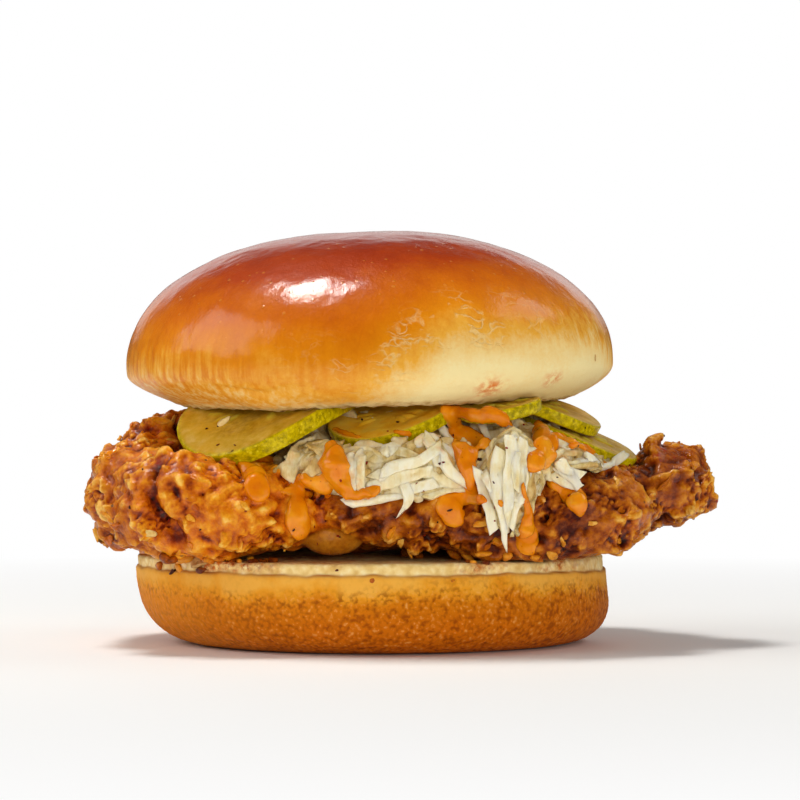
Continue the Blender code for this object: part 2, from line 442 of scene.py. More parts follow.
crown = {
    "radius": 0.0560, "centre": -0.0003, "tilt": 1.3,
    "lipHeight": 0.0548, "lipDrop": 0.0095, "lipPower": 2.35, "flatRadius": 0.0410,
    "domeHeight": 0.0304, "domePower": 2.12, "hollow": 0.0060,
    "around": 500, "domeSteps": 88, "lipSteps": 30, "underSteps": 14,
    "dimple": 0.00016,  # depth of the dents in the baked skin
    "streak": 0.00022,  # depth of the upright stretch marks round the widest part
    "ragged": 0.00045,  # unevenness of the cut lip
    "clearance": 0.0002,  # kept between the crumb and the slices it rests on
    "wave": 0.0008, "waveSize": 1 / 28,  # slow unevenness of the dome
    "pouch": (-119, 0.0563), "pouchDepth": 0.0009, "foldDepth": 0.0005,  # a swelling of the lip and its fold
    "stains": [  # direction and spread in degrees, then height and its spread
        (-60, 3.5, 0.0585, 0.0018), (-42, 2.5, 0.0600, 0.0014), (140, 4, 0.0580, 0.0018),
    ],
}


def crownMaterial():
    material, shader, place = newMaterial("glazedCrust", 0.42, Specular_IOR_Level=0.08,
                                          Coat_Roughness=0.09, Coat_IOR=1.5)
    bake = maskOf("bake")
    streaks = patchy(scaled(place, 1, 1, 0.14), 620.0, 0.38, 0.64)
    patches = patchy(place, 130.0, 0.30, 0.70)
    grain = patchy(place, 1500.0, 0.25, 0.75)
    edge = times(fromTo(bake, 0.05, 0.22), fromTo(bake, 0.62, 0.34))
    edge = times(edge, maskOf("streaky"))
    uneven = plus(bake, times(edge, fromTo(streaks, 0, 1, -0.15, 0.11)))
    uneven = varied(uneven, patches, -0.045, 0.045)
    uneven = varied(uneven, grain, -0.03, 0.03)
    colour = ramp(uneven, [
        (0.00, 246, 226, 164), (0.12, 244, 210, 136), (0.26, 238, 172, 60),
        (0.42, 224, 134, 6), (0.60, 206, 106, 0), (0.80, 172, 60, 0),
        (1.00, 148, 36, 0),
    ])
    crackle = maskOf("crackle")
    flow = addNode("ShaderNodeTexNoise", {"Vector": place, "Scale": 160.0, "Detail": 3.0})
    bent = mixed(0.005, scaled(place, 0.55, 0.55, 1.9), flow.outputs["Color"], "LINEAR_LIGHT")
    lines = addNode("ShaderNodeTexVoronoi", {"Vector": bent, "Scale": 270.0},
                    feature="DISTANCE_TO_EDGE")
    split = times(fromTo(lines.outputs[0], 0.11, 0.0), crackle, clamp=True)
    some = patchy(place, 170.0, 0.47, 0.57)
    split = times(split, some)
    colour = tinted(colour, split, 0.65, srgb(243, 214, 150))
    bubbles = specked(place, 620.0, 0.24, 0.24)
    bubbles = times(bubbles, fromTo(bake, 0.35, 0.7))
    colour = tinted(colour, bubbles, 0.35, srgb(236, 160, 62))
    stain = maskOf("stain")
    blot = patchy(place, 520.0, 0.42, 0.60)
    colour = mixed(times(stain, blot), colour, srgb(222, 112, 28))
    crumb = maskOf("crumb")
    holes = pitted(place, 560.0, 0.8)
    crumbColour = ramp(holes, [(0.2, 198, 158, 90), (0.6, 240, 217, 160)])
    colour = mixed(crumb, colour, crumbColour)
    fill(shader, "Base Color", colour)
    glaze = fromTo(bake, 0.16, 0.50)
    worn = fromTo(patches, 0.0, 1.0, 0.65, 1.0)
    fill(shader, "Coat Weight", times(times(glaze, worn), 0.85))
    fill(shader, "Roughness", fromTo(glaze, 0.0, 1.0, 0.62, 0.36))
    height = blended(grain, 0.30, bubbles, 0.9)
    height = plus(height, times(streaks, 0.35))
    height = calc("SUBTRACT", height, times(split, 1.6))
    height = plus(height, times(times(holes, crumb), 3.0))
    fill(shader, "Normal", bump(height, 0.8, 0.00016))
    sparkle = patchy(place, 2600.0, 0.30, 0.72)
    ripple = patchy(place, 420.0, 0.20, 0.80)
    gloss = blended(sparkle, 0.05, ripple, 0.32)
    gloss = plus(gloss, times(height, 0.16))
    fill(shader, "Coat Normal", bump(gloss, 1.0, 0.00016))
    return material


def makeCrown(material, pressed):
    widest = crown["lipHeight"] + crown["lipDrop"]
    profile = superCorner((0, widest), (crown["radius"], crown["domeHeight"]), crown["domePower"], 90, 0,
                          crown["domeSteps"])
    corner = (crown["radius"] - crown["flatRadius"], crown["lipDrop"])
    profile += superCorner((crown["flatRadius"], widest), corner, crown["lipPower"], 0, -90,
                           crown["lipSteps"])[1:]
    for step in range(1, crown["underSteps"] + 1):
        share = 1 - step / crown["underSteps"]
        profile.append((crown["flatRadius"] * share,
                        crown["lipHeight"] + crown["hollow"] * (1 - share**2)))
    mesh = turnedMesh("bunCrown", profile, crown["around"])
    points = readPoints(mesh)
    turn = np.arctan2(points[:, 1], points[:, 0])
    reach = np.hypot(points[:, 0], points[:, 1])
    up = points[:, 2].copy()
    wave = field(points, crown["waveSize"]) * crown["wave"] * np.clip((up - widest) / 0.01, 0, 1)
    under = ease(up, crown["lipHeight"] + 0.0016, crown["lipHeight"] + 0.0002) * (reach > 0.036)
    under = np.maximum(under, (reach < crown["flatRadius"] + 0.0001) & (up < widest))

    # the baked skin's own relief
    skin = crown["dimple"] * (field(points, 0.0075, 3.1) + 0.5 * field(points, 0.0031, 5.2))
    long = points * np.array((1, 1, 0.16))
    marks = np.abs(field(long, 0.0021, 8.3)) - 0.25
    belt = ease(up, 0.0585, 0.0620) * ease(up, 0.0740, 0.0660)
    leftSide = 0.15 + 0.85 * np.maximum(hump(turn, 205, 42), hump(turn, -14, 20))
    skin += crown["streak"] * marks * belt * leftSide
    side, height = crown["pouch"]
    pouch = hump(turn, side, 9) * bell(up, height, 0.0019)
    fold = hump(turn, side, 11) * bell(up - height - 0.0027 - 0.0006 * np.cos(turn * 20), 0, 0.0005)
    skin += crown["pouchDepth"] * pouch - crown["foldDepth"] * fold
    torn = ease(up, crown["lipHeight"] + 0.0022, crown["lipHeight"] + 0.0004) * (reach > 0.040)
    tear = crown["ragged"] * (field(points, 0.0026, 1.3) + 0.6 * field(points, 0.0011, 2.9)) * torn

    swell = 1 + 0.006 * np.cos(2 * turn + 0.5) + 0.005 * np.cos(3 * turn + 1.9)
    normals = readNormals(mesh)
    points = points * np.stack([swell, swell, np.ones_like(swell)], axis=1)
    points += normals * (skin + tear)[:, None]
    points[:, 2] += wave
    points[:, 0] += crown["centre"]
    lipLow = ease(up, 0.0625, 0.0556) * ease(reach, 0.036, 0.052)
    points[:, 0] += lipLow * (0.0052 * hump(turn, 186, 52) - 0.0026 * hump(turn, -2, 40))
    pivot = Vector((0, 0, crown["lipHeight"]))
    tilt = Matrix.Translation(pivot) @ Matrix.Rotation(-math.radians(crown["tilt"]), 4, "Y")
    points = posed(points, tilt @ Matrix.Translation(-pivot))

    # the crumb gives way over the pickle slices
    for index in np.nonzero(points[:, 2] < 0.0635)[0]:
        x, y, z = points[index]
        hit = pressed.ray_cast(Vector((x, y, 0.09)), Vector((0, 0, -1)))[0]
        if hit is None or reach[index] >= 0.0535:
            continue
        if z - crown["clearance"] < hit.z < z + 0.0075:
            points[index, 2] = hit.z + crown["clearance"]
    writePoints(mesh, points)

    degrees = np.degrees(turn)
    rightFront = ease(degrees, -98, -66) * ease(degrees, 8, -26)
    edge = 0.0425 + 0.0018 * hump(turn, 205, 45) + 0.0210 * rightFront  # height at which the bake starts
    edge = edge + 0.0120 * hump(turn, 100, 45) + 0.0040 * hump(turn, 20, 25)
    edge += 0.0012 * field(points, 0.012, 4.4)
    bake = np.clip((points[:, 2] - edge) / (0.0945 - edge), 0, 1)
    bake += 0.035 * field(points, 0.009, 6.6) * ease(bake, 0, 0.2)
    storeMask(mesh, "bake", np.clip(bake, 0, 1))
    band = ease(bake, 0.10, 0.20) * ease(bake, 0.62, 0.40)
    storeMask(mesh, "crackle", band * np.clip(hump(turn, -72, 26) + 0.6 * hump(turn, 110, 40), 0, 1))
    storeMask(mesh, "streaky", leftSide)
    storeMask(mesh, "crumb", under)
    storeMask(mesh, "stain", sum(hump(turn, side, wide) * bell(up, height, tall)
                                 for side, wide, height, tall in crown["stains"]))
    return addPiece("bunCrown", mesh, material, ["bun_top"])


heel = {
    "radius": 0.0543, "height": 0.0203, "flatRadius": 0.0428, "cornerHeight": 0.0102, "cornerPower": 2.1,
    "crustHeight": 0.0174, "crustStep": 0.0006, "lean": 0.09, "leftCorner": 0.0026,
    "around": 620,
    "pit": 0.00016, "pitSize": 0.0013,  # grains of the baked skin
    "ragged": 0.00014,  # unevenness of the cut face
    "topSteps": 16, "cutSteps": 7, "sideSteps": 13, "cornerSteps": 26,
    "stains": [  # strength, direction and spread in degrees, then where it starts and is full over the crust
        (0.9, -38, 12, -0.0006, 0.0012), (0.8, -62, 7, -0.0006, 0.0012), (2.4, -130, 15, -0.0010, 0.0029),
        (0.6, -98, 6, 0.0012, 0.0029), (0.9, 70, 16, -0.0006, 0.0012), (0.8, 150, 12, -0.0006, 0.0012),
    ],
}


def heelMaterial():
    material, shader, place = newMaterial("bakedCrust", 0.62, Specular_IOR_Level=0.12)
    crumb = maskOf("crumb")
    low = maskOf("low")
    fine = pitted(place, 1150.0, 0.9)
    coarse = pitted(place, 600.0, 1.1)
    patches = patchy(place, 95.0, 0.30, 0.70)
    # the low mask darkens towards the bottom: partly the browned crust, partly painted shade
    tone = varied(low, patches, -0.16, 0.16)
    colour = ramp(tone, [
        (0.00, 238, 174, 68), (0.14, 232, 156, 36), (0.34, 212, 122, 8),
        (0.70, 202, 108, 0), (1.00, 206, 108, 2),
    ])
    grains = blended(fine, 0.6, coarse, 0.4)
    strength = fromTo(low, 0.04, 0.20, 0.10, 1.0)
    dark = times(fromTo(grains, 0.52, 0.28), strength, clamp=True)
    light = times(fromTo(grains, 0.60, 0.85), strength, clamp=True)
    colour = tinted(colour, dark, 0.70, srgb(134, 56, 0))
    colour = tinted(colour, light, 0.60, srgb(242, 178, 92))
    # painted light: the lower left front of the crust is painted paler
    colour = mixed(maskOf("pale"), colour, srgb(236, 150, 30))
    spots = specked(place, 260.0, 0.05, 0.20)
    colour = tinted(colour, spots, 0.6, srgb(128, 62, 4))
    holes = pitted(place, 620.0, 0.8)
    crumbColour = ramp(holes, [(0.15, 226, 186, 108), (0.5, 242, 212, 142),
                               (0.9, 250, 231, 174)])
    colour = mixed(crumb, colour, crumbColour)
    line = maskOf("line")
    colour = mixed(line, colour, srgb(158, 84, 18))
    stain = maskOf("stain")
    blot = patchy(place, 300.0, 0.40, 0.60)
    blotch = patchy(place, 900.0, 0.36, 0.56)
    soaked = times(times(stain, blot, clamp=True), blotch)
    colour = mixed(soaked, colour, ramp(fine, [(0.3, 158, 62, 8), (0.8, 214, 118, 34)]))
    fill(shader, "Base Color", colour)
    fill(shader, "Roughness", fromTo(soaked, 0, 1, 0.66, 0.34))
    height = times(plus(fine, coarse), strength)
    height = plus(height, times(times(holes, crumb), 1.2))
    fill(shader, "Normal", bump(height, 0.75, 0.00026))
    return material


def makeHeel(material):
    top, crust, radius = heel["height"], heel["crustHeight"], heel["radius"]
    cut = radius - heel["crustStep"]
    steps = heel["topSteps"]
    profile = [((cut - 0.0008) * step / steps, top) for step in range(steps + 1)]
    profile += [(cut - 0.0004, top - 0.00015), (cut, top - 0.0006)]
    steps = heel["cutSteps"]
    profile += [(cut, top - 0.0006 - (top - 0.0006 - crust) * step / steps) for step in range(1, steps + 1)]
    profile += [(cut + 0.0003, crust - 0.0001), (radius, crust - heel["crustStep"])]
    steps = heel["sideSteps"]
    drop = crust - heel["crustStep"] - heel["cornerHeight"]
    profile += [(radius, crust - heel["crustStep"] - drop * step / steps) for step in range(1, steps)]
    profile += superCorner((heel["flatRadius"], heel["cornerHeight"]),
                           (radius - heel["flatRadius"], heel["cornerHeight"]),
                           heel["cornerPower"], 0, -90, heel["cornerSteps"])
    profile += [(heel["flatRadius"] * share, 0) for share in (0.8, 0.5, 0)]
    mesh = turnedMesh("bunHeel", profile, heel["around"])
    points = readPoints(mesh)
    turn = np.arctan2(points[:, 1], points[:, 0])
    reach = np.hypot(points[:, 0], points[:, 1])
    up = points[:, 2].copy()
    side = ease(reach, 0.045, 0.050)
    crumb = ease(up, crust - 0.0002, crust + 0.0001)

    ring = np.stack([np.cos(turn), np.sin(turn), np.zeros_like(turn)], axis=1)
    edge = 0.0006 * np.cos(turn + 2.2) + 0.0005 * field(ring, 0.5, 2.0) + 0.00036 * field(ring, 0.13, 5.0)
    edge += 0.00026 * field(ring, 0.05, 8.0)
    share = np.where(up > crust, (top - up) / (top - crust), (up - 0.0130) / (crust - 0.0130))
    points[:, 2] += edge * np.clip(share, 0, 1) * side
    normals = readNormals(mesh)
    swell = 1 + 0.005 * np.cos(2 * turn + 1.2) + 0.004 * np.cos(3 * turn)
    points[:, :2] *= swell[:, None]
    low = np.clip(1 - up / crust, 0, 1)
    points[:, 0] += heel["lean"] * (top / 2 - up)
    points[:, 0] += heel["leftCorner"] * low**2 * np.maximum(0, -ring[:, 0]) * reach / radius
    near = cells(points, heel["pitSize"], 1.0)[0]
    grit = heel["pit"] * (0.5 - near) * 1.4 * ease(low, 0.0, 0.22) * (up > 0.0004)
    dents = 0.00022 * field(points, 0.008, 3.0) * (up > 0.0004)
    tear = heel["ragged"] * field(points, 0.0019, 7.0) * crumb * ease(reach, 0.040, 0.050)
    tear += 0.00020 * field(points, 0.006, 9.0) * crumb
    points += normals * (grit + dents + tear)[:, None]
    points[:, 2] = np.maximum(points[:, 2], 0)
    writePoints(mesh, points)

    storeMask(mesh, "crumb", crumb)
    # darker towards the bottom, partly browning and partly painted shade; the broad bend round the left front
    # (205 degrees) lightens it as painted light, the other bends darken it at places
    low = ease(up, 0.0172, 0.0030) - 0.10 * hump(turn, 205, 55) + 0.12 * hump(turn, -162, 30)
    low += 0.06 * hump(turn, -60, 30) + 0.05 * field(ring, 0.2, 4.0)
    storeMask(mesh, "low", np.clip(low, 0, 1))
    # painted light on the lower left front of the crust
    storeMask(mesh, "pale", 0.5 * hump(turn, -158, 30) * ease(up, 0.0160, 0.0110))
    lineMask = bell(up - crust + 0.0001, 0, 0.00035) * side
    storeMask(mesh, "line", lineMask * np.clip(0.55 + 0.6 * field(ring, 0.12, 3.0), 0, 0.9))
    stain = 0.45 * ease(reach, 0.051, 0.045) * (up > crust)
    for strength, side, wide, low, high in heel["stains"]:
        stain += strength * hump(turn, side, wide) * ease(up, crust + low, crust + high)
    storeMask(mesh, "stain", stain)
    return addPiece("bunHeel", mesh, material, ["bun_bottom"])


# fried fillet

fillet = {
    "voxel": 0.0010, "fineVoxel": 0.00074,
    "bulge": 0.0125, "bulgeHeight": 0.0024,  # size and height of the big swellings
    "lump": 0.0056, "lumpHeight": 0.0016,
    "lean": 0.0016,  # how far the lumps hang over sideways
    "nub": 0.0023, "nubHeight": 0.0007,
    "fold": 0.0020, "foldHeight": 0.00050,
    "grain": 0.0012, "grainHeight": 0.00022,
    "seed": 5,
    "shards": {  # scraps of crust that melt into the skin; sink is in thicknesses, outwards
        "count": 900, "length": (0.0034, 0.0086), "width": (0.0022, 0.0050), "thickness": (0.0015, 0.0024),
        "sink": (-0.35, 0.30),
    },
    "flakes": {  # thin ones that stand off it
        "count": 170, "length": (0.0022, 0.0050), "width": (0.0012, 0.0026), "thickness": (0.0004, 0.0007),
        "sink": (0.0, 0.8),
    },
    "hidden": (-0.040, 0.044, 0.040),  # X from and to, and Y to both sides, that the bun covers
    "lowest": 0.0205, "lowestShard": 0.0215,
    "smooth": (-0.0350, -0.0470, 0.0345), "smoothReach": 0.0140,  # the swelling at the front left
    "drawn": (0.80, 0.05, -0.60),  # which way the folds run there
    "groove": [(-42.8, 50.6), (-40.6, 46.0), (-47.6, 40.4), (-49.4, 36.0), (-48.0, 30.8), (-43.4, 25.6)],
    "grooveReach": 0.0024, "grooveDepth": 0.0050,
    "bare": (-8.6, 26.2), "bareSize": (0.0072, 0.0050, 0.0044),  # where the coating has come off
}


def friedMaterial():
    material, shader, place = newMaterial("friedCoating", 0.34, Specular_IOR_Level=0.20, Coat_Roughness=0.12)
    # crag runs from 0 in the crevices to 1 on the ridges: partly the crust's own colour, partly painted shade
    # in the crevices and painted light on the ridges
    crag = maskOf("crag")
    toast = maskOf("toast")
    grain = pitted(place, 1250.0, 1.2)
    patches = patchy(place, 170.0, 0.34, 0.66)
    fine = patchy(place, 620.0, 0.30, 0.70)
    tone = varied(crag, patches, -0.17, 0.15)
    tone = varied(tone, fine, -0.12, 0.12)
    golden = ramp(tone, [
        (0.00, 52, 6, 0), (0.20, 114, 32, 0), (0.40, 186, 84, 0),
        (0.58, 216, 118, 4), (0.80, 236, 156, 26), (1.00, 250, 200, 92),
    ])
    dark = ramp(tone, [
        (0.00, 26, 3, 0), (0.28, 74, 18, 0), (0.50, 134, 58, 0),
        (0.70, 178, 94, 6), (0.90, 212, 138, 34), (1.00, 228, 166, 76),
    ])
    # toast: darker crust, partly browning (left end, towards the back, at random) and partly painted shade on
    # the right and below the slaw
    colour = mixed(toast, golden, dark)
    red = patchy(place, 330.0, 0.58, 0.68)
    red = times(red, maskOf("spice"), clamp=True)
    colour = tinted(colour, red, 0.75, srgb(150, 28, 2))
    pepper = specked(place, 380.0, 0.10, 0.20)
    colour = tinted(colour, pepper, 0.8, srgb(40, 18, 2))
    bare = maskOf("bare")
    meat = ramp(fine, [(0.0, 160, 88, 6), (1.0, 206, 136, 30)])
    colour = mixed(bare, colour, meat)
    fill(shader, "Base Color", colour)
    oily = patchy(place, 260.0, 0.42, 0.62)
    fill(shader, "Roughness", fromTo(oily, 0, 1, 0.50, 0.24))
    fill(shader, "Coat Weight", times(oily, 0.40))
    height = blended(grain, 0.7, fine, 0.5)
    height = times(height, fromTo(bare, 0, 1, 1.0, 0.25))
    fill(shader, "Normal", bump(height, 0.85, 0.00030))
    return material


def domes(points, size, crease, seed):  # rounded lumps with creases between them, about -0.5 to 0.5
    near, after = cells(points, size, seed)
    return np.sqrt(np.clip(1.05 - near**2, 0, 1)) * ease(after - near, 0.0, crease) - 0.55


def stirred(points, size, reach):
    return np.array([noise.noise_vector(Vector(point) / size) for point in points]) * reach


def addShard(heap, place, up, lead, sizes, curl, dice, rings=7, corners=14):  # a closed, uneven, curled scrap
    around = np.arange(corners) * 2 * np.pi / corners
    edge = 1 + sum(dice.uniform(-0.55, 0.55) / wave * np.sin(wave * around + dice.uniform(0, 6.3))
                   for wave in (2, 3, 4, 5, 7))
    fall = np.linspace(0.0, np.pi, rings)[:, None]
    spread = np.sin(fall) ** 0.6
    u = spread * np.cos(around) * edge
    v = spread * np.sin(around) * edge
    w = np.sign(np.cos(fall)) * np.abs(np.cos(fall)) ** 0.7 + 0 * around
    phase = dice.uniform(0, 6.3)
    ripple = dice.uniform(0.0, 0.16) * np.sin(2.6 * v + 1.3 * u + phase)
    length, width, thickness = sizes
    side = np.cross(up, lead)
    high = 0.5 * thickness * w + length * (curl * u**2 + ripple) * 0.5
    points = (np.array(place) + lead * (0.5 * length * u)[..., None] + side * (0.5 * width * v)[..., None]
              + up * high[..., None])
    start = len(heap["points"])
    heap["points"] += [tuple(point) for point in points.reshape(-1, 3)]
    heap["light"] += [dice.uniform(0, 1)] * (rings * corners)
    for ring in range(rings - 1):
        for corner in range(corners):
            after = (corner + 1) % corners
            a, b = start + ring * corners, start + (ring + 1) * corners
            heap["faces"].append((a + corner, b + corner, b + after, a + after))


def newHeap():
    return {"points": [], "faces": [], "light": []}


def heapMesh(name, heap):
    mesh = meshOf(name, heap["points"], heap["faces"])
    storeMask(mesh, "light", heap["light"])
    return mesh


def shardPose(normal, wish, tilt):  # up and lead, square to each other, tipped off the surface
    normal = np.array(normal)
    lead = np.array(wish) - normal * (np.array(wish) @ normal)
    lead /= np.linalg.norm(lead)
    up = normal * math.cos(tilt) + np.cross(normal, lead) * math.sin(tilt)
    return up, lead


def strewnShards(starts, over, kind, spot, groove):
    heap = newHeap()
    middle = np.array(fillet["smooth"])
    left, right, deep = fillet["hidden"]
    laid = tries = 0
    while laid < kind["count"]:
        tries += 1
        dice = diceFor(fillet["seed"], tries)
        place, normal, _, _ = over.find_nearest(Vector(dice.choice(starts)))
        place, normal = np.array(place), np.array(normal)
        covered = abs(place[1]) < deep and left < place[0] < right
        if covered and abs(normal[2]) > 0.45 or place[2] < fillet["lowestShard"]:
            continue
        calm = bell(np.linalg.norm(place - middle), 0, fillet["smoothReach"])
        if dice.random() < 0.75 * calm or np.linalg.norm((place - spot) / fillet["bareSize"]) < 1.55:
            continue
        if np.linalg.norm(groove - place, axis=1).min() < fillet["grooveReach"]:
            continue
        swirl = np.array(noise.noise_vector(Vector(place) / 0.011))
        swirl += scatter(dice, 0.12, 0.12, 0.12)
        wish = swirl * (1 - calm) + np.array(fillet["drawn"]) * calm
        up, lead = shardPose(normal, wish, dice.uniform(-0.1, 0.75) * (1 - 0.6 * calm))
        size = dice.uniform(0.75, 1.1) * (1 - 0.2 * calm)
        sizes = (size * dice.uniform(*kind["length"]), size * dice.uniform(*kind["width"]),
                 dice.uniform(*kind["thickness"]))
        addShard(heap, place + normal * (sizes[2] * dice.uniform(*kind["sink"])), up, lead, sizes,
                 dice.uniform(-0.5, 0.25), dice)
        laid += 1
    return heap


def bareness(points, spot):  # 1 where the meat shows
    far = np.linalg.norm((points - np.array(spot)) / np.array(fillet["bareSize"]), axis=1)
    ragged = far + 0.16 * field(points, 0.0032, 21.0)
    return ease(ragged, 1.30, 1.02)


def inGroove(points, groove):
    far = np.min([np.linalg.norm(points - stop, axis=1) for stop in groove], axis=0)
    return bell(far, 0, fillet["grooveReach"])


def filletForm():  # with its big swellings and lumps, then the middle of the bare spot and the groove
    mesh = meltedMesh(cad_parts["chicken_fillet"].data.copy(), fillet["voxel"], 3)
    points = readPoints(mesh)
    x, y, z = points.T
    raised = ease(x, -0.036, -0.022) * ease(x, 0.018, 0.004) * ease(y, -0.014, -0.036)
    points[:, 2] += 0.0016 * raised * ease(z, 0.0275, 0.0225)  # the front edge stands off the heel
    points[:, 2] += 0.0019 * ease(x, 0.047, 0.056) * ease(z, 0.0340, 0.0270)
    points[:, 0] += 0.0014 * ease(x, -0.052, -0.062) - 0.0016 * ease(x, 0.062, 0.074)
    writePoints(mesh, points)
    seat = treeOf(mesh)
    spot, _ = frontHit(seat, *fillet["bare"])
    spot = spot + Vector((0, 0.0012, 0))
    groove = [frontHit(seat, *stop)[0] or Vector((stop[0] * mm, -0.03, stop[1] * mm))
              for stop in fillet["groove"]]
    groove = np.array(curveThrough(groove, 40))
    middle = np.array(fillet["smooth"])
    normals = readNormals(mesh)
    flow = points + stirred(points, 0.015, 0.0045) + stirred(points, 0.006, 0.0012)
    bulge = domes(flow, fillet["bulge"], 0.10, 2.0)
    lump = domes(flow, fillet["lump"], 0.20, 7.0)
    smooth = bell(np.linalg.norm(points - middle, axis=1), 0, fillet["smoothReach"])
    wild = 0.35 + 0.95 * ease(field(points, 0.018, 9.0), -0.25, 0.30) * (1 - 0.8 * smooth)
    trench = inGroove(points, groove)
    calm = (1 - 0.9 * bareness(points, spot)) * (ease(z, 0.0212, 0.0245) * 0.85 + 0.15)
    push = fillet["bulgeHeight"] * bulge + fillet["lumpHeight"] * lump * wild
    lead = stirred(points, 0.0065, 1.0)
    lead -= normals * (lead * normals).sum(axis=1)[:, None]
    points = points + normals * (push * calm - fillet["grooveDepth"] * trench)[:, None]
    points += lead * (fillet["lean"] * (0.3 + lump * wild) * calm)[:, None]
    points[:, 2] = np.maximum(points[:, 2], fillet["lowest"])
    writePoints(mesh, points)
    return mesh, points, spot, groove


def foldSkin(mesh, spot, groove):  # folds, nubs and grain, and where the crust is dark, red or bare
    middle = np.array(fillet["smooth"])
    drawn = np.array(Vector(fillet["drawn"]).normalized())
    points = readPoints(mesh)
    normals = readNormals(mesh)
    x, y, z = points.T
    smooth = bell(np.linalg.norm(points - middle, axis=1), 0, fillet["smoothReach"])
    wild = ease(field(points, 0.009, 12.0), -0.20, 0.45) * (1 - 0.75 * smooth)
    stir = stirred(points, 0.0045, 0.0013)
    run = (points - middle) @ drawn
    stretched = points + 1.6 * stir - np.outer(run * 0.80, drawn)
    fold = 0.5 - 1.6 * np.abs(field(stretched, fillet["fold"], 3.0))
    nub = domes(points + stir, fillet["nub"], 0.24, 4.0)
    grain = field(points + stir, fillet["grain"], 6.0)
    bare = bareness(points, spot)
    calm = (1 - bare) * (ease(z, 0.0212, 0.0240) * 0.8 + 0.2)
    push = fillet["nubHeight"] * nub * (0.15 + wild) + fillet["grainHeight"] * grain * (0.4 + wild)
    push += fillet["foldHeight"] * fold * (0.25 + 0.75 * smooth) * (1 - 0.5 * wild)
    points = points + normals * (push * calm)[:, None]
    points[:, 0] = np.clip(points[:, 0], cadBox[0][0] - 0.0004, cadBox[1][0] + 0.0004)
    points[:, 2] = np.maximum(points[:, 2], fillet["lowest"] - 0.0001)
    writePoints(mesh, points)

    # how far each point stands out, stored as painted shade in the crevices and painted light on the ridges
    fineOut = standOut(mesh, 3) / 0.00020
    midOut = standOut(mesh, 14) / 0.00060
    wideOut = standOut(mesh, 60) / 0.0018
    crag = np.clip(0.52 + 0.10 * fineOut + 0.17 * midOut + 0.22 * wideOut, 0, 1)
    # darker towards the right-hand side, away from the light, as painted shade; darker towards the back, at
    # the left end and at random as browning
    toast = 0.05 + 0.65 * ease(x, 0.004, 0.040) + 0.45 * ease(x, -0.046, -0.058)
    toast += 0.50 * ease(y, -0.020, 0.010) * (0.5 + 0.5 * field(points, 0.03, 3.0))
    toast += 0.60 * field(points, 0.011, 5.0)
    # painted shade: the front middle, in shade below the slaw, is painted darker and its ridges less bright
    moist = ease(x, -0.016, -0.002) * ease(x, 0.060, 0.040) * ease(y, -0.022, -0.036)
    toast += 0.75 * moist
    storeMask(mesh, "toast", np.clip(toast, 0, 1))
    crag -= 0.10 * moist * ease(field(points, 0.012, 17.0), -0.2, 0.2)
    # painted shade: darker still along the groove
    storeMask(mesh, "crag", crag * (1 - 0.75 * inGroove(points, groove)))
    spice = 0.25 + ease(z, 0.0400, 0.0450) + 0.5 * ease(x, -0.040, -0.055)
    storeMask(mesh, "spice", np.clip(spice, 0, 1))
    storeMask(mesh, "bare", bare)


def makeFillet(material):
    form, points, spot, groove = filletForm()
    starts = [tuple(point) for point in points]
    heap = strewnShards(starts, treeOf(form), fillet["shards"], np.array(spot), groove)
    shape = bmesh.new()
    shape.from_mesh(form)
    shape.from_mesh(meshOf("shards", heap["points"], heap["faces"]))
    addBall(shape, Matrix.Translation(spot), fillet["bareSize"], 4)
    mesh = meltedMesh(meshFrom(shape, "crust"), fillet["fineVoxel"], 2)  # one skin round form and shards
    foldSkin(mesh, spot, groove)
    addPiece("friedFillet", mesh, material, ["chicken_fillet"])

    heap = strewnShards(starts, treeOf(mesh), fillet["flakes"], np.array(spot), groove)
    flakes = meshOf("coatingFlakes", heap["points"], heap["faces"])
    places = readPoints(flakes)
    storeMask(flakes, "crag", 0.50 + 0.45 * np.array(heap["light"]))
    # painted shade: the flakes on the right-hand side are darker too
    storeMask(flakes, "toast", np.clip(0.1 + 0.6 * ease(places[:, 0], 0.004, 0.040), 0, 1))
    for name in ("spice", "bare"):
        storeMask(flakes, name, np.zeros(len(places)))
    addPiece("coatingFlakes", flakes, material)
    return mesh


# pickles

pickle = {
    "seed": 23, "around": 120, "edge": 0.0006,
    "seedRaise": 0.00034, "seedLength": 0.0022, "seedWidth": 0.0010,  # half sizes of a seed
    "sag": 0.00030,  # hollow of the soft middle
    "skinBump": 0.00010, "rimRaise": 0.00013, "seedGroove": 0.00014,
    "slices": {  # node: centre, radius, thickness, heading, slope, curl, then the share covered by sauce
        "pickle_front_left": ((-0.0240, -0.0250, 0.0536), 0.0210, 0.0040, -130, 20, 46, 0.30),
        "pickle_front": ((0.0046, -0.0300, 0.0521), 0.0147, 0.0033, -128, 19, 20, 1.00),
        "pickle_front_middle": ((0.0286, -0.0355, 0.0545), 0.0097, 0.0030, -120, 9, 10, 0.15),
        "pickle_right_upper": ((0.0373, -0.0110, 0.0547), 0.0155, 0.0028, -12, 15, 28, 0.10),
        "pickle_right_lower": ((0.0473, -0.0120, 0.0473), 0.0140, 0.0028, -15, 21, 20, 0.20),
        "pickle_back": ((-0.0080, 0.0290, 0.0530), 0.0190, 0.0035, 100, 15, 25, 0.35),
        "pickle_back_right": ((0.0290, 0.0250, 0.0530), 0.0170, 0.0033, 55, 14, 20, 0.20),
    },
}


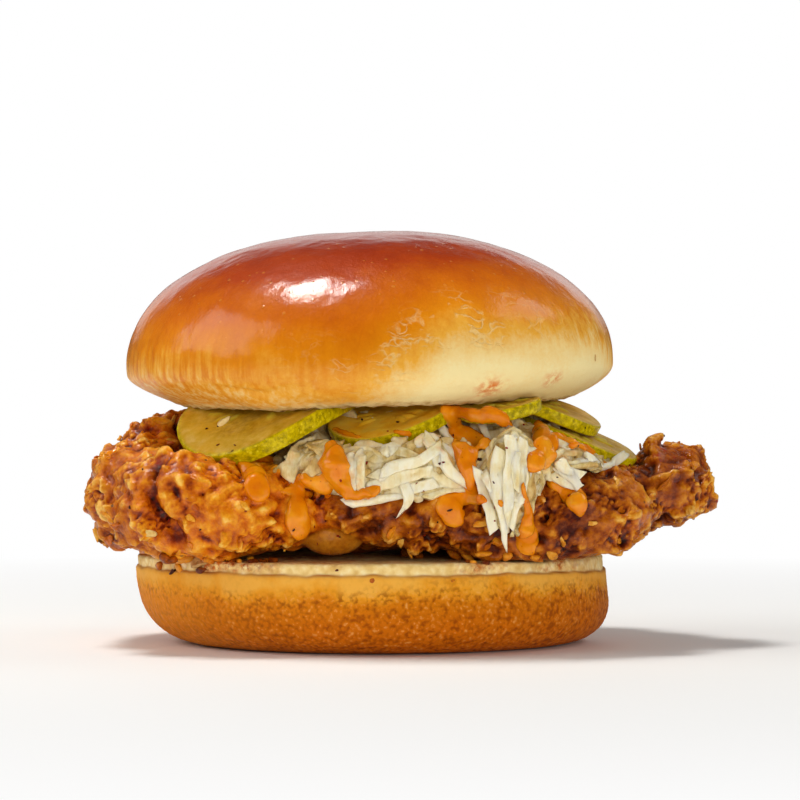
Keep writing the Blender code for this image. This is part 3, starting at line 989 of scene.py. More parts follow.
def pickleMaterial():
    material, shader, place = newMaterial("picklePlain", 0.22, Specular_IOR_Level=0.06, Coat_Roughness=0.10,
                                          Subsurface_Weight=0.45, Subsurface_Radius=(1.0, 0.8, 0.12),
                                          Subsurface_Scale=0.0022)
    skin = maskOf("skin")
    seed = maskOf("seed")
    core = maskOf("core")
    film = maskOf("film")
    cloud = patchy(place, 230.0, 0.30, 0.70)
    fibre = patchy(place, 900.0, 0.35, 0.65)
    flesh = ramp(cloud, [(0.0, 190, 148, 22), (0.5, 212, 172, 58),
                         (1.0, 228, 196, 104)])
    middle = ramp(fibre, [(0.0, 172, 126, 4), (1.0, 210, 168, 44)])
    colour = mixed(times(core, 0.7), flesh, middle)
    colour = tinted(colour, seed, 0.8, srgb(206, 194, 66))
    glints = specked(place, 1150.0, 0.55, 0.42)
    rind = ramp(fibre, [(0.0, 152, 136, 0), (0.5, 194, 172, 0), (1.0, 220, 202, 10)])
    rind = mixed(times(glints, 0.45), rind, srgb(246, 230, 50))
    colour = mixed(skin, colour, rind)
    smear = patchy(place, 120.0, 0.36, 0.56)
    smear = times(film, plus(smear, fromTo(film, 0.5, 1.0)), clamp=True)
    # painted light: the sauce film is paler than the sauce itself, standing in for light under the crown
    sauceColour = ramp(cloud, [(0.0, 248, 176, 10), (1.0, 255, 214, 70)])
    colour = mixed(times(smear, 0.88), colour, sauceColour)
    pepper = specked(place, 420.0, 0.07, 0.16)
    colour = tinted(colour, pepper, 0.8, srgb(72, 34, 6))
    fill(shader, "Base Color", colour)
    fill(shader, "Roughness", fromTo(skin, 0, 1, 0.48, 0.26))
    fill(shader, "Coat Weight", fromTo(skin, 0, 1, 0.03, 0.22))
    height = blended(fibre, 0.5, glints, 0.4)
    fill(shader, "Normal", bump(height, 0.32, 0.00014))
    return material


def makePickle(node, values, material, dice):
    centre, radius, thickness, heading, slope, curl, cover = values
    half, edge = thickness / 2, pickle["edge"]
    profile = [((radius - edge) * step / 24, half) for step in range(25)]
    profile += superCorner((radius - edge, half - edge), (edge, edge), 2, 90, 0, 4)[1:]
    drop = thickness - 2 * edge
    profile += [(radius, half - edge - drop * step / 6) for step in range(1, 7)]
    profile += superCorner((radius - edge, edge - half), (edge, edge), 2, 0, -90, 4)[1:]
    profile += [((radius - edge) * (1 - step / 24), -half) for step in range(1, 25)]
    words = node.split("_")
    name = words[0] + "".join(word.capitalize() for word in words[1:])
    mesh = turnedMesh(name, profile, pickle["around"])
    points = readPoints(mesh)
    x, y, z = points.T
    turn, reach = np.arctan2(y, x), np.hypot(x, y)
    share = reach / radius
    face = np.sign(z) * ease(share, 1.0 - edge / radius * 0.2, 1.0 - edge / radius * 1.5)
    phase = dice.uniform(0, 6)

    seed = np.zeros(len(points))
    for group in range(3):
        for member in range(-1, 2):
            angle = group * 2.094 + phase + member * 0.42 + dice.uniform(-0.12, 0.12)
            away = radius * dice.uniform(0.36, 0.58)
            lean = angle + dice.uniform(-0.35, 0.35)
            dx, dy = x - away * math.cos(angle), y - away * math.sin(angle)
            long = (dx * math.cos(lean) + dy * math.sin(lean)) / pickle["seedLength"]
            wide = (dy * math.cos(lean) - dx * math.sin(lean)) / pickle["seedWidth"]
            seed = np.maximum(seed, 1 - (long**2 + wide**2))
    raised = np.sqrt(np.clip(seed, 0, 1))
    groove = ease(seed, -1.0, -0.1) * (1 - ease(seed, -0.1, 0.2))
    soft = ease(share, 0.80, 0.55)
    relief = pickle["seedRaise"] * raised - pickle["seedGroove"] * groove - pickle["sag"] * soft
    relief += 0.00016 * field(points, 0.0042, phase) + 0.00007 * field(points, 0.0013, phase)
    relief += pickle["rimRaise"] * bell(share, 0.955, 0.02)
    z = z + face * relief * np.clip(thickness / 0.0030, 0, 1)
    outline = 0.018 * np.cos(2 * turn + phase) + 0.012 * np.cos(3 * turn + 2 * phase)
    rim = ease(share, 0.94, 1.0)
    grow = 1 + outline * share + rim * pickle["skinBump"] * field(points, 0.0013, 2.0) / radius
    x, y = x * grow, y * grow
    z += 0.00035 * np.sin(2 * turn + phase) * share**2

    bend = 2 * radius / math.radians(curl)
    angle, out = x / bend, bend + z
    points = np.stack([out * np.sin(angle), y, out * np.cos(angle) - bend], axis=1)
    pose = Matrix.Rotation(math.radians(heading), 4, "Z") @ Matrix.Rotation(math.radians(slope), 4, "Y")
    points = posed(points, Matrix.Translation(centre) @ pose)
    writePoints(mesh, points)

    storeMask(mesh, "skin", ease(share, 0.955, 0.985))
    storeMask(mesh, "seed", ease(seed, 0.0, 0.35))
    storeMask(mesh, "core", ease(share, 0.74, 0.66))
    wet = ease(field(points, 0.009, phase) + 1.3 * cover, 0.25, 0.75) * (z > -half * 0.2)
    storeMask(mesh, "film", cover * wet * ease(share, 0.985, 0.955))
    return addPiece(name, mesh, material, [node])


# slaw

slaw = {
    "coreVoxel": 0.0013, "coreShrink": 0.0016, "coreLumps": 0.0007, "frontVoxel": 0.00048, "ribs": 0.00014,
    "crispLift": 1.35,  # shreds that lie higher stay separate
    "middle": (0.006, 0),
    "seed": 23, "loose": 330,
    "looseWidth": (0.0020, 0.0042), "looseThickness": (0.0011, 0.0018), "looseLength": (0.010, 0.024),
    "strands": {  # at the sides and the back: directions in degrees, top and fall in mm
        "count": 16, "from": 40, "over": 130, "top": (42, 49), "fall": (7, 14),
        "lift": (0.0004, 0.0012), "width": (0.0018, 0.0036), "thickness": 0.0012,
    },
    "dabs": 90, "dabSizes": ((0.7, 1.5), (0.6, 1.0), (0.6, 1.2)),  # of dressing, half sizes in mm
    "front": [  # width, thickness and lift off the heap in mm, brightness (painted light and shade on that shred), end taper, then places in mm
        (4.6, 1.6, 0.9, 0.50, 0.8,
         [(-9.8, 48.1), (-13.2, 46.6), (-15.8, 44.2), (-17.4, 41.4), (-18.9, 38.6)]),
        (3.4, 1.3, 1.6, 0.38, 0.6, [(-7.4, 46.4), (-11.6, 42.2), (-15.2, 39.0)]),
        (2.2, 1.2, 0.2, 0.15, 0.7, [(-17.4, 46.6), (-20.0, 43.5), (-21.1, 40.6)]),
        (3.0, 1.4, 1.4, 0.42, 0.5, [(-12.6, 47.8), (-16.4, 45.8), (-18.2, 43.4)]),
        (3.2, 1.2, 0.6, 0.30, 0.8, [(-9.4, 44.4), (-10.6, 40.2), (-10.0, 36.6)]),
        (2.8, 1.5, 2.2, 0.95, 0.9, [(-4.6, 45.3), (-4.4, 42.0), (-4.0, 38.4), (-4.2, 34.8)]),
        (2.6, 1.5, 1.9, 0.80, 0.7, [(-2.6, 45.9), (-2.4, 42.4), (-2.6, 38.6), (-2.0, 35.2)]),
        (2.2, 1.3, 2.0, 0.95, 0.7, [(-5.9, 33.6), (-2.6, 33.7), (0.6, 34.1), (3.6, 34.6), (6.8, 35.5)]),
        (3.0, 1.3, 1.7, 0.85, 0.8, [(-3.4, 45.3), (0.2, 45.6), (3.9, 44.6)]),
        (2.8, 1.2, 1.0, 0.75, 0.7, [(3.1, 44.4), (5.3, 45.7), (7.3, 47.5)]),
        (2.9, 1.3, 2.2, 0.95, 0.8, [(2.2, 40.3), (5.9, 41.9), (10.8, 42.9), (15.2, 45.4)]),
        (2.6, 1.2, 1.5, 0.85, 0.7, [(0.2, 38.9), (2.6, 40.0), (4.6, 41.6)]),
        (3.0, 1.3, 1.3, 0.80, 0.8, [(-1.4, 37.2), (5.3, 38.6), (13.5, 41.0)]),
        (2.8, 1.3, 1.5, 0.85, 0.8, [(-0.6, 35.2), (6.4, 36.4), (14.2, 38.4)]),
        (2.6, 1.2, 1.0, 0.65, 0.8, [(5.6, 40.2), (10.4, 40.6), (14.8, 39.6)]),
        (3.0, 1.3, 1.6, 1.00, 0.8, [(10.4, 48.4), (13.7, 50.6), (16.5, 53.0)]),
        (2.3, 1.2, 2.2, 1.00, 0.7, [(14.4, 52.9), (15.2, 50.4), (16.3, 47.7)]),
        (3.4, 1.1, 0.3, 0.35, 0.8, [(5.0, 48.0), (6.8, 46.4), (9.5, 44.2)]),
        (2.6, 1.2, 1.2, 0.80, 0.8, [(9.5, 46.2), (12.6, 47.7), (15.4, 47.3)]),
        (2.5, 1.2, 1.6, 0.90, 0.7, [(11.7, 47.7), (13.7, 44.9), (14.8, 41.5)]),
        (2.6, 1.2, 2.2, 1.00, 0.8, [(14.8, 43.9), (17.6, 40.7), (21.0, 37.0)]),
        (2.2, 1.2, 1.4, 0.55, 0.7, [(12.4, 34.2), (16.6, 36.5), (21.9, 36.2)]),
        (2.6, 1.2, 0.8, 0.60, 0.8, [(15.0, 39.7), (18.4, 37.9), (21.6, 38.4)]),
        (2.6, 1.0, 2.1, 0.90, 0.3, [(7.3, 37.2), (7.6, 34.2), (6.7, 31.0)]),
        (2.7, 1.1, 2.6, 1.00, 1.0, [(23.7, 40.4), (24.6, 36.0), (25.4, 31.6), (26.4, 27.3)]),
        (4.2, 1.3, 1.8, 0.95, 0.3, [(29.2, 45.2), (28.5, 38.0), (28.7, 32.0), (29.3, 24.6)]),
        (2.9, 1.4, 2.6, 0.95, 0.8, [(30.6, 47.9), (31.0, 43.6), (30.3, 38.8), (29.9, 32.3)]),
        (2.7, 1.4, 2.2, 0.80, 0.6, [(33.4, 47.2), (32.9, 43.4), (33.0, 38.4), (31.6, 34.0)]),
        (2.2, 1.3, 2.9, 0.90, 0.5, [(32.0, 44.6), (31.6, 40.8), (31.9, 36.4)]),
        (3.0, 1.1, 2.0, 0.95, 0.5, [(33.4, 42.0), (32.8, 36.0), (32.3, 31.4), (32.0, 27.6)]),
        (2.4, 1.0, 2.2, 0.90, 0.3, [(30.2, 36.6), (30.0, 31.6), (30.6, 27.2)]),
        (1.7, 1.0, 2.3, 0.90, 0.5, [(24.6, 44.0), (26.0, 39.4), (28.1, 34.7)]),
        (1.9, 1.0, 2.8, 1.00, 0.5, [(23.5, 52.1), (24.5, 49.9), (25.6, 47.3)]),
        (1.4, 0.9, 2.2, 0.80, 0.8, [(21.8, 55.0), (22.3, 53.0), (22.6, 50.8)]),
        (2.0, 1.1, 2.0, 0.95, 0.3, [(27.9, 52.1), (30.1, 49.5), (32.0, 47.1)]),
        (2.4, 1.1, 0.9, 0.40, 0.7, [(31.0, 51.2), (33.8, 50.4), (36.5, 50.8)]),
        (3.0, 1.1, 0.6, 0.35, 0.7, [(33.4, 49.8), (34.4, 46.6), (34.6, 43.2)]),
        (3.2, 1.6, 2.8, 0.85, 0.7, [(41.0, 43.6), (43.4, 41.8), (46.2, 38.8)]),
        (3.0, 1.6, 2.4, 0.95, 0.7, [(40.8, 41.2), (43.6, 39.2), (45.8, 36.4)]),
        (3.4, 1.1, 2.4, 0.85, 0.6, [(39.9, 39.9), (43.1, 38.2), (46.0, 36.6)]),
        (2.3, 1.1, 2.8, 1.00, 0.9, [(47.4, 42.5), (51.3, 43.2), (54.9, 44.1)]),
        (2.6, 1.1, 1.2, 0.90, 0.6, [(33.0, 42.9), (35.2, 42.2), (36.9, 41.0)]),
        (2.4, 1.2, 0.6, 0.55, 0.8, [(19.8, 47.5), (21.6, 43.8), (22.6, 39.6)]),
        (2.2, 1.1, 0.9, 0.75, 0.8, [(25.4, 47.5), (27.0, 43.0), (27.5, 38.0)]),
        (2.4, 1.2, 0.7, 0.50, 0.8, [(16.2, 49.4), (19.4, 47.2), (22.6, 46.6)]),
        (3.0, 1.4, 0.6, 0.65, 0.8, [(33.6, 50.2), (37.4, 48.9), (41.0, 46.6)]),
        (2.6, 1.3, 0.9, 0.75, 0.8, [(35.6, 46.4), (39.6, 46.8), (43.6, 45.6)]),
        (2.8, 1.3, 0.6, 0.60, 0.8, [(36.2, 43.8), (38.2, 41.2), (38.8, 38.4)]),
        (2.4, 1.3, 1.0, 0.80, 0.7, [(42.4, 46.0), (46.4, 44.8), (50.6, 42.6)]),
        (3.0, 1.3, 0.4, 0.55, 0.8, [(22.4, 49.6), (25.4, 51.4), (29.4, 52.0)]),
        (3.2, 1.4, 0.5, 0.60, 0.8, [(23.6, 47.0), (27.4, 48.4), (31.6, 49.6)]),
        (3.4, 1.4, 0.4, 0.70, 0.8, [(-9.6, 42.4), (-6.8, 39.4), (-6.4, 36.2)]),
        (3.0, 1.4, 0.5, 0.65, 0.8, [(-12.6, 43.4), (-13.4, 40.2), (-12.2, 37.4)]),
        (3.0, 1.4, 0.5, 0.60, 0.8, [(8.2, 35.4), (12.6, 36.8), (17.2, 38.8)]),
        (3.2, 1.4, 0.5, 0.70, 0.8, [(15.6, 45.6), (18.6, 43.0), (19.8, 39.6)]),
        (3.6, 1.5, 0.8, 0.85, 0.7, [(27.4, 46.6), (28.4, 40.4), (28.0, 34.2)]),
        (3.0, 1.4, 0.9, 0.80, 0.6, [(34.4, 45.4), (34.0, 39.0), (33.2, 33.4)]),
    ],
}


def cabbageMaterial():
    material, shader, place = newMaterial("cabbageRaw", 0.34, Specular_IOR_Level=0.30, Coat_Weight=0.42,
                                          Coat_Roughness=0.15,
                                          Subsurface_Weight=0.40, Subsurface_Radius=(1.0, 0.85, 0.5),
                                          Subsurface_Scale=0.0016)
    # light is painted light and shade: shreds in shade are given the darker, olive colours of the ramp
    light = maskOf("light")
    cloud = patchy(place, 260.0, 0.30, 0.70)
    veins = patchy(scaled(place, 1, 1, 0.25), 900.0, 0.38, 0.62)
    tone = varied(light, cloud, -0.26, 0.22)
    tone = varied(tone, veins, -0.14, 0.10)
    colour = ramp(tone, [
        (0.00, 170, 126, 56), (0.25, 212, 178, 106), (0.50, 233, 209, 150),
        (0.75, 245, 229, 184), (1.00, 252, 242, 212),
    ])
    smear = patchy(place, 150.0, 0.60, 0.70)
    colour = tinted(colour, smear, 0.50, srgb(232, 158, 66))
    pepper = specked(place, 300.0, 0.035, 0.13)
    colour = tinted(colour, pepper, 0.85, srgb(60, 44, 20))
    fill(shader, "Base Color", colour)
    fill(shader, "Roughness", fromTo(cloud, 0, 1, 0.26, 0.46))
    height = blended(veins, 0.6, cloud, 0.4)
    fill(shader, "Normal", bump(height, 0.5, 0.00018))
    return material


def curveThrough(points, steps):  # a smooth line through the given places
    padded = [points[0] * 2 - points[1], *points, points[-1] * 2 - points[-2]]
    spans = len(points) - 1
    line = []
    for step in range(steps + 1):
        share = spans * step / steps
        span = min(int(share), spans - 1)
        t = share - span
        a, b, c, d = padded[span:span + 4]
        line.append(0.5 * (2 * b + (c - a) * t + (2 * a - 5 * b + 4 * c - d) * t**2
                           + (3 * b - a - 3 * c + d) * t**3))
    return line


def addShred(heap, path, outward, width, thickness, light, taper, dice, steps=15):
    corners = 12
    line = curveThrough(path, steps)
    ups = curveThrough(outward, steps)
    seeds = [dice.uniform(0, 50) for _ in range(5)]
    skews = (dice.uniform(-0.5, 0.5) * width, dice.uniform(-0.5, 0.5) * width)
    twist = dice.uniform(-0.6, 0.6)
    cup = dice.uniform(-0.05, 0.16) * width
    start = len(heap["points"])
    length = sum((b - a).length for a, b in zip(line, line[1:]))
    for step, (place, up) in enumerate(zip(line, ups)):
        share = step / steps
        tangent = (line[min(step + 1, steps)] - line[max(step - 1, 0)]).normalized()
        up = squareTo(up, tangent)
        side = tangent.cross(up)
        roll = twist * (share - 0.5)
        across = side * math.cos(roll) + up * math.sin(roll)
        rise = up * math.cos(roll) - side * math.sin(roll)
        run = share * length / 0.0042
        narrow = 1 - (1 - taper) * ease(share, 0.35, 1.0)
        narrow *= 1 - 0.25 * ease(share, 0.10, 0.0)
        left, right = [narrow * (1 + 0.26 * noise.noise((run, seed, 0))
                                 + 0.10 * noise.noise((run * 3, seed, 4))) for seed in seeds[:2]]
        thick = 0.5 * thickness * (1 + 0.30 * noise.noise((run, seeds[2], 0)))
        for corner in range(corners):
            turn = 2 * math.pi * (corner + 0.5) / corners
            u = signedPower(math.cos(turn), 0.70)
            v = signedPower(math.sin(turn), 0.70)
            half = 0.5 * width * (right if u > 0 else left)
            wave = 0.34 * thickness * noise.noise((run * 1.3, u * 1.5 + seeds[3], 2)) + cup * (u**2 - 0.4)
            wave += 0.10 * thickness * math.cos(u * 4.0 + seeds[4] + run)
            skew = skews[0] * max(0, 1 - share * 4) + skews[1] * max(0, share * 4 - 3)
            point = place + across * (u * half) + rise * (v * thick + wave) + tangent * (skew * u)
            heap["points"].append(point)
            heap["light"].append(light + 0.12 * noise.noise((run, seeds[4], u)))
    for step in range(steps):
        for corner in range(corners):
            after = (corner + 1) % corners
            a, b = start + step * corners, start + (step + 1) * corners
            heap["faces"].append((a + corner, a + after, b + after, b + corner))
    heap["faces"].append(tuple(start + corner for corner in reversed(range(corners))))
    heap["faces"].append(tuple(start + steps * corners + corner for corner in range(corners)))


def laidOver(tree, places, lift):  # front places in mm to points over the surface, with their normals
    points, outward = [], []
    for x, z in places:
        place, normal = frontHit(tree, x, z)
        if place is None:
            place, normal = Vector((x * mm, frontPlane, z * mm)), Vector((0, -1, 0))
        points.append(place)
        outward.append((normal + Vector((0, -1.6, 0.1))).normalized())
    depths = [point.y for point in points]
    for index, point in enumerate(points):  # a stiff shred spans the hollows
        near = depths[max(0, index - 1):index + 2]
        point.y = min(0.35 * depths[index] + 0.65 * min(near), depths[index])
    return [point + up * (lift * mm) for point, up in zip(points, outward)], outward


eyes = [viewPoint] + [Vector(place) for place in ((0.0, 1.0, 0.06), (1.0, 0.0, 0.06), (-1.0, 0.0, 0.06))]


def hidesSlice(slices, core, point):  # a loose shred doesn't lie in a slice or in front of one that shows
    for eye in eyes:
        ray = point - eye
        cut, _, _, far = slices.ray_cast(eye, ray.normalized())
        if cut is None or far < ray.length - 0.001:
            continue
        heap, _, _, near = core.ray_cast(eye, ray.normalized())
        if heap is None or near > far:
            return True
    return slices.find_nearest(point, 0.0014)[0] is not None


def besideSlices(mesh, points, tree):  # the heap doesn't rise in front of a slice that shows
    lowered = points.copy()
    for _ in range(14):
        for index in np.nonzero((lowered[:, 1] < 0.005) & (lowered[:, 2] > 0.040))[0]:
            point = Vector(lowered[index])
            ray = point - viewPoint
            place, _, _, far = tree.ray_cast(viewPoint, ray.normalized())
            if place is not None and far > ray.length - 0.0008:
                lowered[index, 2] -= 0.0006
    return points + evened(lowered - points, readEdges(mesh), 2)


def makeSlawCore(material, pickleTree):
    core = meltedMesh(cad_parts["slaw_heap"].data.copy(), slaw["coreVoxel"], 2)
    points = readPoints(core) - readNormals(core) * slaw["coreShrink"]
    points += readNormals(core) * (slaw["coreLumps"] * field(points, 0.004, 3.0))[:, None]
    points[:, 2] -= 0.0032 * ease(points[:, 0], 0.041, 0.049) * ease(points[:, 2], 0.041, 0.046)
    points = besideSlices(core, points, pickleTree)
    writePoints(core, points)
    # painted shade: the heap under the shreds is coloured as cabbage in shade
    storeMask(core, "light", 0.52 + 0.25 * field(points, 0.006, 1.0))
    addPiece("slawCore", core, material, ["slaw_heap"])
    return core


def strewShreds(heap, core, coreTree, pickleTree):  # loose ones, all over the heap
    laid = tries = 0
    while laid < slaw["loose"]:
        tries += 1
        dice = diceFor(slaw["seed"], tries)
        start = dice.choice(core.vertices)
        atFront = start.co.y < -0.030 and -0.030 < start.co.x
        if start.normal.z < -0.55 or start.normal.z > 0.85 and dice.random() < 0.7:
            continue
        length = dice.uniform(*slaw["looseLength"]) * (0.8 if atFront else 1.0)
        lift = dice.uniform(-0.0001, 0.0007) if atFront else dice.uniform(0.0000, 0.0015)
        heading = squareTo(Vector(scatter(dice, 1, 1, 0.8)), start.normal)
        place, normal = start.co.copy(), start.normal.copy()
        path, outward = [], []
        for _ in range(5):
            path.append(place + normal * lift)
            outward.append(normal + Vector(scatter(dice, 0.2, 0.2, 0.2)))
            heading = squareTo(heading + Vector(scatter(dice, 0.25, 0.25, 0.2)), normal)
            place, near, _, _ = coreTree.find_nearest(place + heading * length / 4)
            normal = (normal + near).normalized()
        # painted shade: loose shreds at the front, under the crown, are coloured darker
        light = dice.uniform(0.25, 0.65) if atFront else dice.uniform(0.45, 1.0)
        if any(hidesSlice(pickleTree, coreTree, point) for point in path):
            continue
        width, thickness = dice.uniform(*slaw["looseWidth"]), dice.uniform(*slaw["looseThickness"])
        addShred(heap, path, outward, width, thickness, light, dice.uniform(0.4, 1.0), dice, 12)
        laid += 1


def hangStrands(heap, tree):  # over the fillet's edge at the sides and the back
    strands = slaw["strands"]
    for number in range(strands["count"]):
        dice = diceFor(slaw["seed"] + 1, number)
        turn = strands["from"] + strands["over"] * (number + dice.uniform(0, 0.8)) / strands["count"]
        top, fall = dice.uniform(*strands["top"]), dice.uniform(*strands["fall"])
        path, outward = [], []
        for step in range(4):
            place, normal = sideHit(tree, turn + dice.uniform(-2, 2), top - fall * step / 3, slaw["middle"])
            if place is None:
                break
            path.append(place + normal * dice.uniform(*strands["lift"]))
            outward.append(normal)
        if len(path) == 4:
            addShred(heap, path, outward, dice.uniform(*strands["width"]), strands["thickness"],
                     dice.uniform(0.7, 1.0), dice.uniform(0.2, 1.0), dice)


def frontShreds(tree):  # the upper ones are separate, the lower ones stuck together by the dressing
    heap = newHeap()
    crisp = newHeap()
    for number, (width, thickness, lift, light, taper, places) in enumerate(slaw["front"]):
        dice = diceFor(slaw["seed"] + 2, number)
        path, outward = laidOver(tree, places, lift)
        into = crisp if lift > slaw["crispLift"] else heap
        addShred(into, path, outward, width * mm, 1.15 * thickness * mm, light, taper, dice, 20)
    wet = bmesh.new()
    wet.from_mesh(meshOf("front", heap["points"], heap["faces"]))
    dice = diceFor(slaw["seed"] + 3, 0)
    for _ in range(slaw["dabs"]):
        place = heap["points"][dice.randrange(len(heap["points"]))] + Vector((0, 0.0011, 0))
        radii = [dice.uniform(*limits) * mm for limits in slaw["dabSizes"]]
        addBall(wet, Matrix.Translation(place), radii)
    front = meltedMesh(meshFrom(wet, "wet"), slaw["frontVoxel"], 1)
    points = readPoints(front)
    ribs = field(points * (1.0, 1.0, 0.45), 0.0013, 5.0) + 0.8 * field(points, 0.0032, 8.0)
    points += readNormals(front) * (slaw["ribs"] * ribs)[:, None]
    writePoints(front, points)
    nearby = KDTree(len(heap["points"]))
    for index, point in enumerate(heap["points"]):
        nearby.insert(point, index)
    nearby.balance()
    lights = np.array([heap["light"][nearby.find(point)[1]] for point in points])
    # painted shade in the hollows between shreds and painted light where they stand out
    storeMask(front, "light", lights + 0.10 * np.clip(standOut(front, 10) / 0.0003, -1, 1))
    return heapMesh("upper", crisp), front


def makeSlaw(material, pickleTree, crust):
    core = makeSlawCore(material, pickleTree)
    overFillet = treeOf(core, crust)
    heap = newHeap()
    strewShreds(heap, core, treeOf(core), pickleTree)
    hangStrands(heap, overFillet)
    shape = bmesh.new()
    for part in (heapMesh("loose", heap), *frontShreds(overFillet)):
        shape.from_mesh(part)
    mesh = meshFrom(shape, "slawShreds")
    addPiece("slawShreds", mesh, material, ["slaw_heap"])
    return mesh


# sauce

sauce = {
    "voxel": 0.00050, "softening": 3,
    "depth": 0.50, "unevenness": 0.22, "drift": 0.20,  # shares of the half width
    "front": [  # places along each run: X, Z and half width, in mm
        [(-28.9, 42.0, 1.2), (-26.9, 40.6, 2.3), (-25.4, 38.4, 2.9), (-25.2, 36.2, 2.6), (-25.8, 35.2, 1.6)],
        [(-16.6, 38.2, 1.7), (-13.6, 38.6, 2.1), (-10.6, 37.4, 1.9), (-9.8, 35.4, 1.2)],
        [(-16.2, 37.0, 1.4), (-16.5, 33.6, 2.2), (-16.5, 30.6, 2.8), (-16.3, 28.4, 3.1), (-16.2, 27.6, 2.6)],
        [(-19.6, 36.0, 0.8), (-16.9, 36.4, 1.4), (-13.4, 35.6, 1.1)],
        [(-9.4, 46.8, 1.4), (-8.6, 44.4, 2.8), (-7.8, 41.6, 3.4), (-6.6, 38.6, 2.8), (-5.5, 36.0, 1.8)],
        [(-11.2, 42.4, 1.0), (-9.4, 41.0, 1.8)],
        [(-5.9, 35.3, 1.4), (-3.4, 35.2, 1.4), (-0.4, 35.9, 1.7), (1.2, 36.6, 1.3)],
        [(16.4, 53.9, 1.7), (18.2, 52.2, 2.6), (20.4, 50.0, 2.8), (22.6, 48.0, 2.1), (25.4, 46.4, 1.6)],
        [(19.0, 54.0, 1.4), (22.6, 53.0, 1.8), (26.0, 52.2, 1.3)],
        [(25.8, 54.0, 1.4), (28.2, 52.6, 1.9), (30.2, 51.0, 1.3)],
        [(17.2, 50.8, 2.0), (19.2, 49.4, 2.6), (21.6, 47.6, 2.4), (24.2, 46.2, 1.7)],
        [(18.9, 47.0, 1.4), (20.2, 44.6, 2.1), (21.3, 41.6, 2.4), (21.9, 38.6, 1.9), (22.2, 35.6, 1.8)],
        [(22.6, 46.0, 1.2), (22.2, 43.8, 1.6)],
        [(16.2, 34.4, 1.7), (16.8, 32.6, 2.7), (18.2, 31.0, 2.9), (19.0, 30.3, 2.2)],
        [(17.8, 34.4, 1.8), (20.2, 34.6, 1.9), (23.0, 34.6, 1.9), (25.2, 34.0, 0.9)],
        [(37.0, 50.8, 1.3), (37.8, 48.8, 2.2), (37.9, 46.2, 2.8), (37.0, 43.4, 2.7), (35.6, 41.4, 1.8)],
        [(40.2, 47.6, 1.4), (39.6, 44.6, 2.0), (38.4, 42.0, 1.4)],
        [(40.8, 48.6, 1.2), (43.2, 47.2, 1.5), (46.4, 45.8, 1.5), (49.4, 44.6, 0.9)],
        [(33.6, 37.4, 0.9), (34.3, 34.4, 1.0), (34.6, 31.4, 1.0)],
        [(40.2, 38.2, 1.6), (42.2, 36.8, 2.3), (44.4, 35.2, 2.8), (45.9, 33.2, 2.3), (46.4, 31.4, 1.4)],
        [(35.0, 32.6, 0.7), (34.8, 30.2, 1.5), (34.5, 27.4, 2.3), (34.6, 25.0, 2.7), (35.0, 23.9, 2.2)],
        [(-8.0, 49.8, 0.9), (-5.4, 48.8, 1.0), (-2.6, 48.0, 0.8)],
        [(5.4, 49.4, 0.8), (8.4, 48.8, 0.9)],
        [(28.6, 33.8, 0.9), (29.0, 33.0, 0.9)],
    ],
    "around": [  # the same on the sides and the back: direction in degrees, Z and half width
        [(8, 46, 1.8), (10, 42, 2.1), (9, 38, 1.6), (10, 35, 1.0)],
        [(42, 50, 1.6), (48, 47, 2.2), (50, 42, 2.0), (49, 38, 1.4)],
        [(66, 44, 1.6), (74, 42, 2.2), (80, 40, 1.8)],
        [(88, 50, 1.8), (92, 46, 2.2), (93, 41, 2.4), (92, 36, 1.8), (92, 33, 1.2)],
        [(112, 46, 1.5), (118, 43, 2.3), (120, 39, 2.0)],
        [(134, 49, 1.4), (138, 45, 2.0), (139, 41, 1.7), (140, 37, 2.1), (140, 35, 1.6)],
        [(158, 44, 1.4), (162, 41, 1.8), (163, 38, 1.2)],
        [(188, 45, 1.1), (192, 42, 1.6)],
    ],
}


def sauceMaterial():
    material, shader, place = newMaterial("creamySauce", 0.26, Specular_IOR_Level=0.15, Coat_Weight=0.60,
                                          Coat_Roughness=0.07,
                                          Subsurface_Weight=0.25, Subsurface_Radius=(1.0, 0.5, 0.15),
                                          Subsurface_Scale=0.0012)
    cloud = patchy(place, 170.0, 0.30, 0.70)
    colour = ramp(cloud, [(0.0, 220, 114, 0), (0.5, 232, 136, 0), (1.0, 242, 160, 26)])
    red = specked(place, 900.0, 0.18, 0.20)
    colour = tinted(colour, red, 0.55, srgb(176, 62, 6))
    pepper = specked(place, 430.0, 0.07, 0.15)
    colour = tinted(colour, pepper, 0.8, srgb(70, 26, 8))
    fill(shader, "Base Color", colour)
    height = blended(cloud, 0.6, red, 0.4)
    fill(shader, "Normal", bump(height, 0.35, 0.00014))
    return material


def makeSauce(material, tree):
    shape = bmesh.new()

    def dab(place, normal, reach, facing):
        up = (normal + facing * 0.8).normalized()
        reach *= 1 + sauce["unevenness"] * noise.noise(place / 0.0022)
        place = place + noise.noise_vector(place / 0.0013) * (sauce["drift"] * reach)
        pose = Matrix.Translation(place + up * reach * 0.10) @ up.to_track_quat("Z", "Y").to_matrix().to_4x4()
        addBall(shape, pose, (reach, reach, reach * sauce["depth"]))

    for run in sauce["front"] + sauce["around"]:
        line = curveThrough([Vector(stop) for stop in run], 7 * len(run))
        for first, second, reach in line:
            if run in sauce["front"]:
                place, normal = frontHit(tree, first, second)
                facing = Vector((0, -1, 0))
            else:
                place, normal = sideHit(tree, first, second, slaw["middle"])
                facing = outWay(first)
            if place is not None:
                dab(place, normal, reach * mm, facing)
    mesh = meltedMesh(meshFrom(shape, "drops"), sauce["voxel"], sauce["softening"])
    return addPiece("sauceDrips", mesh, material)


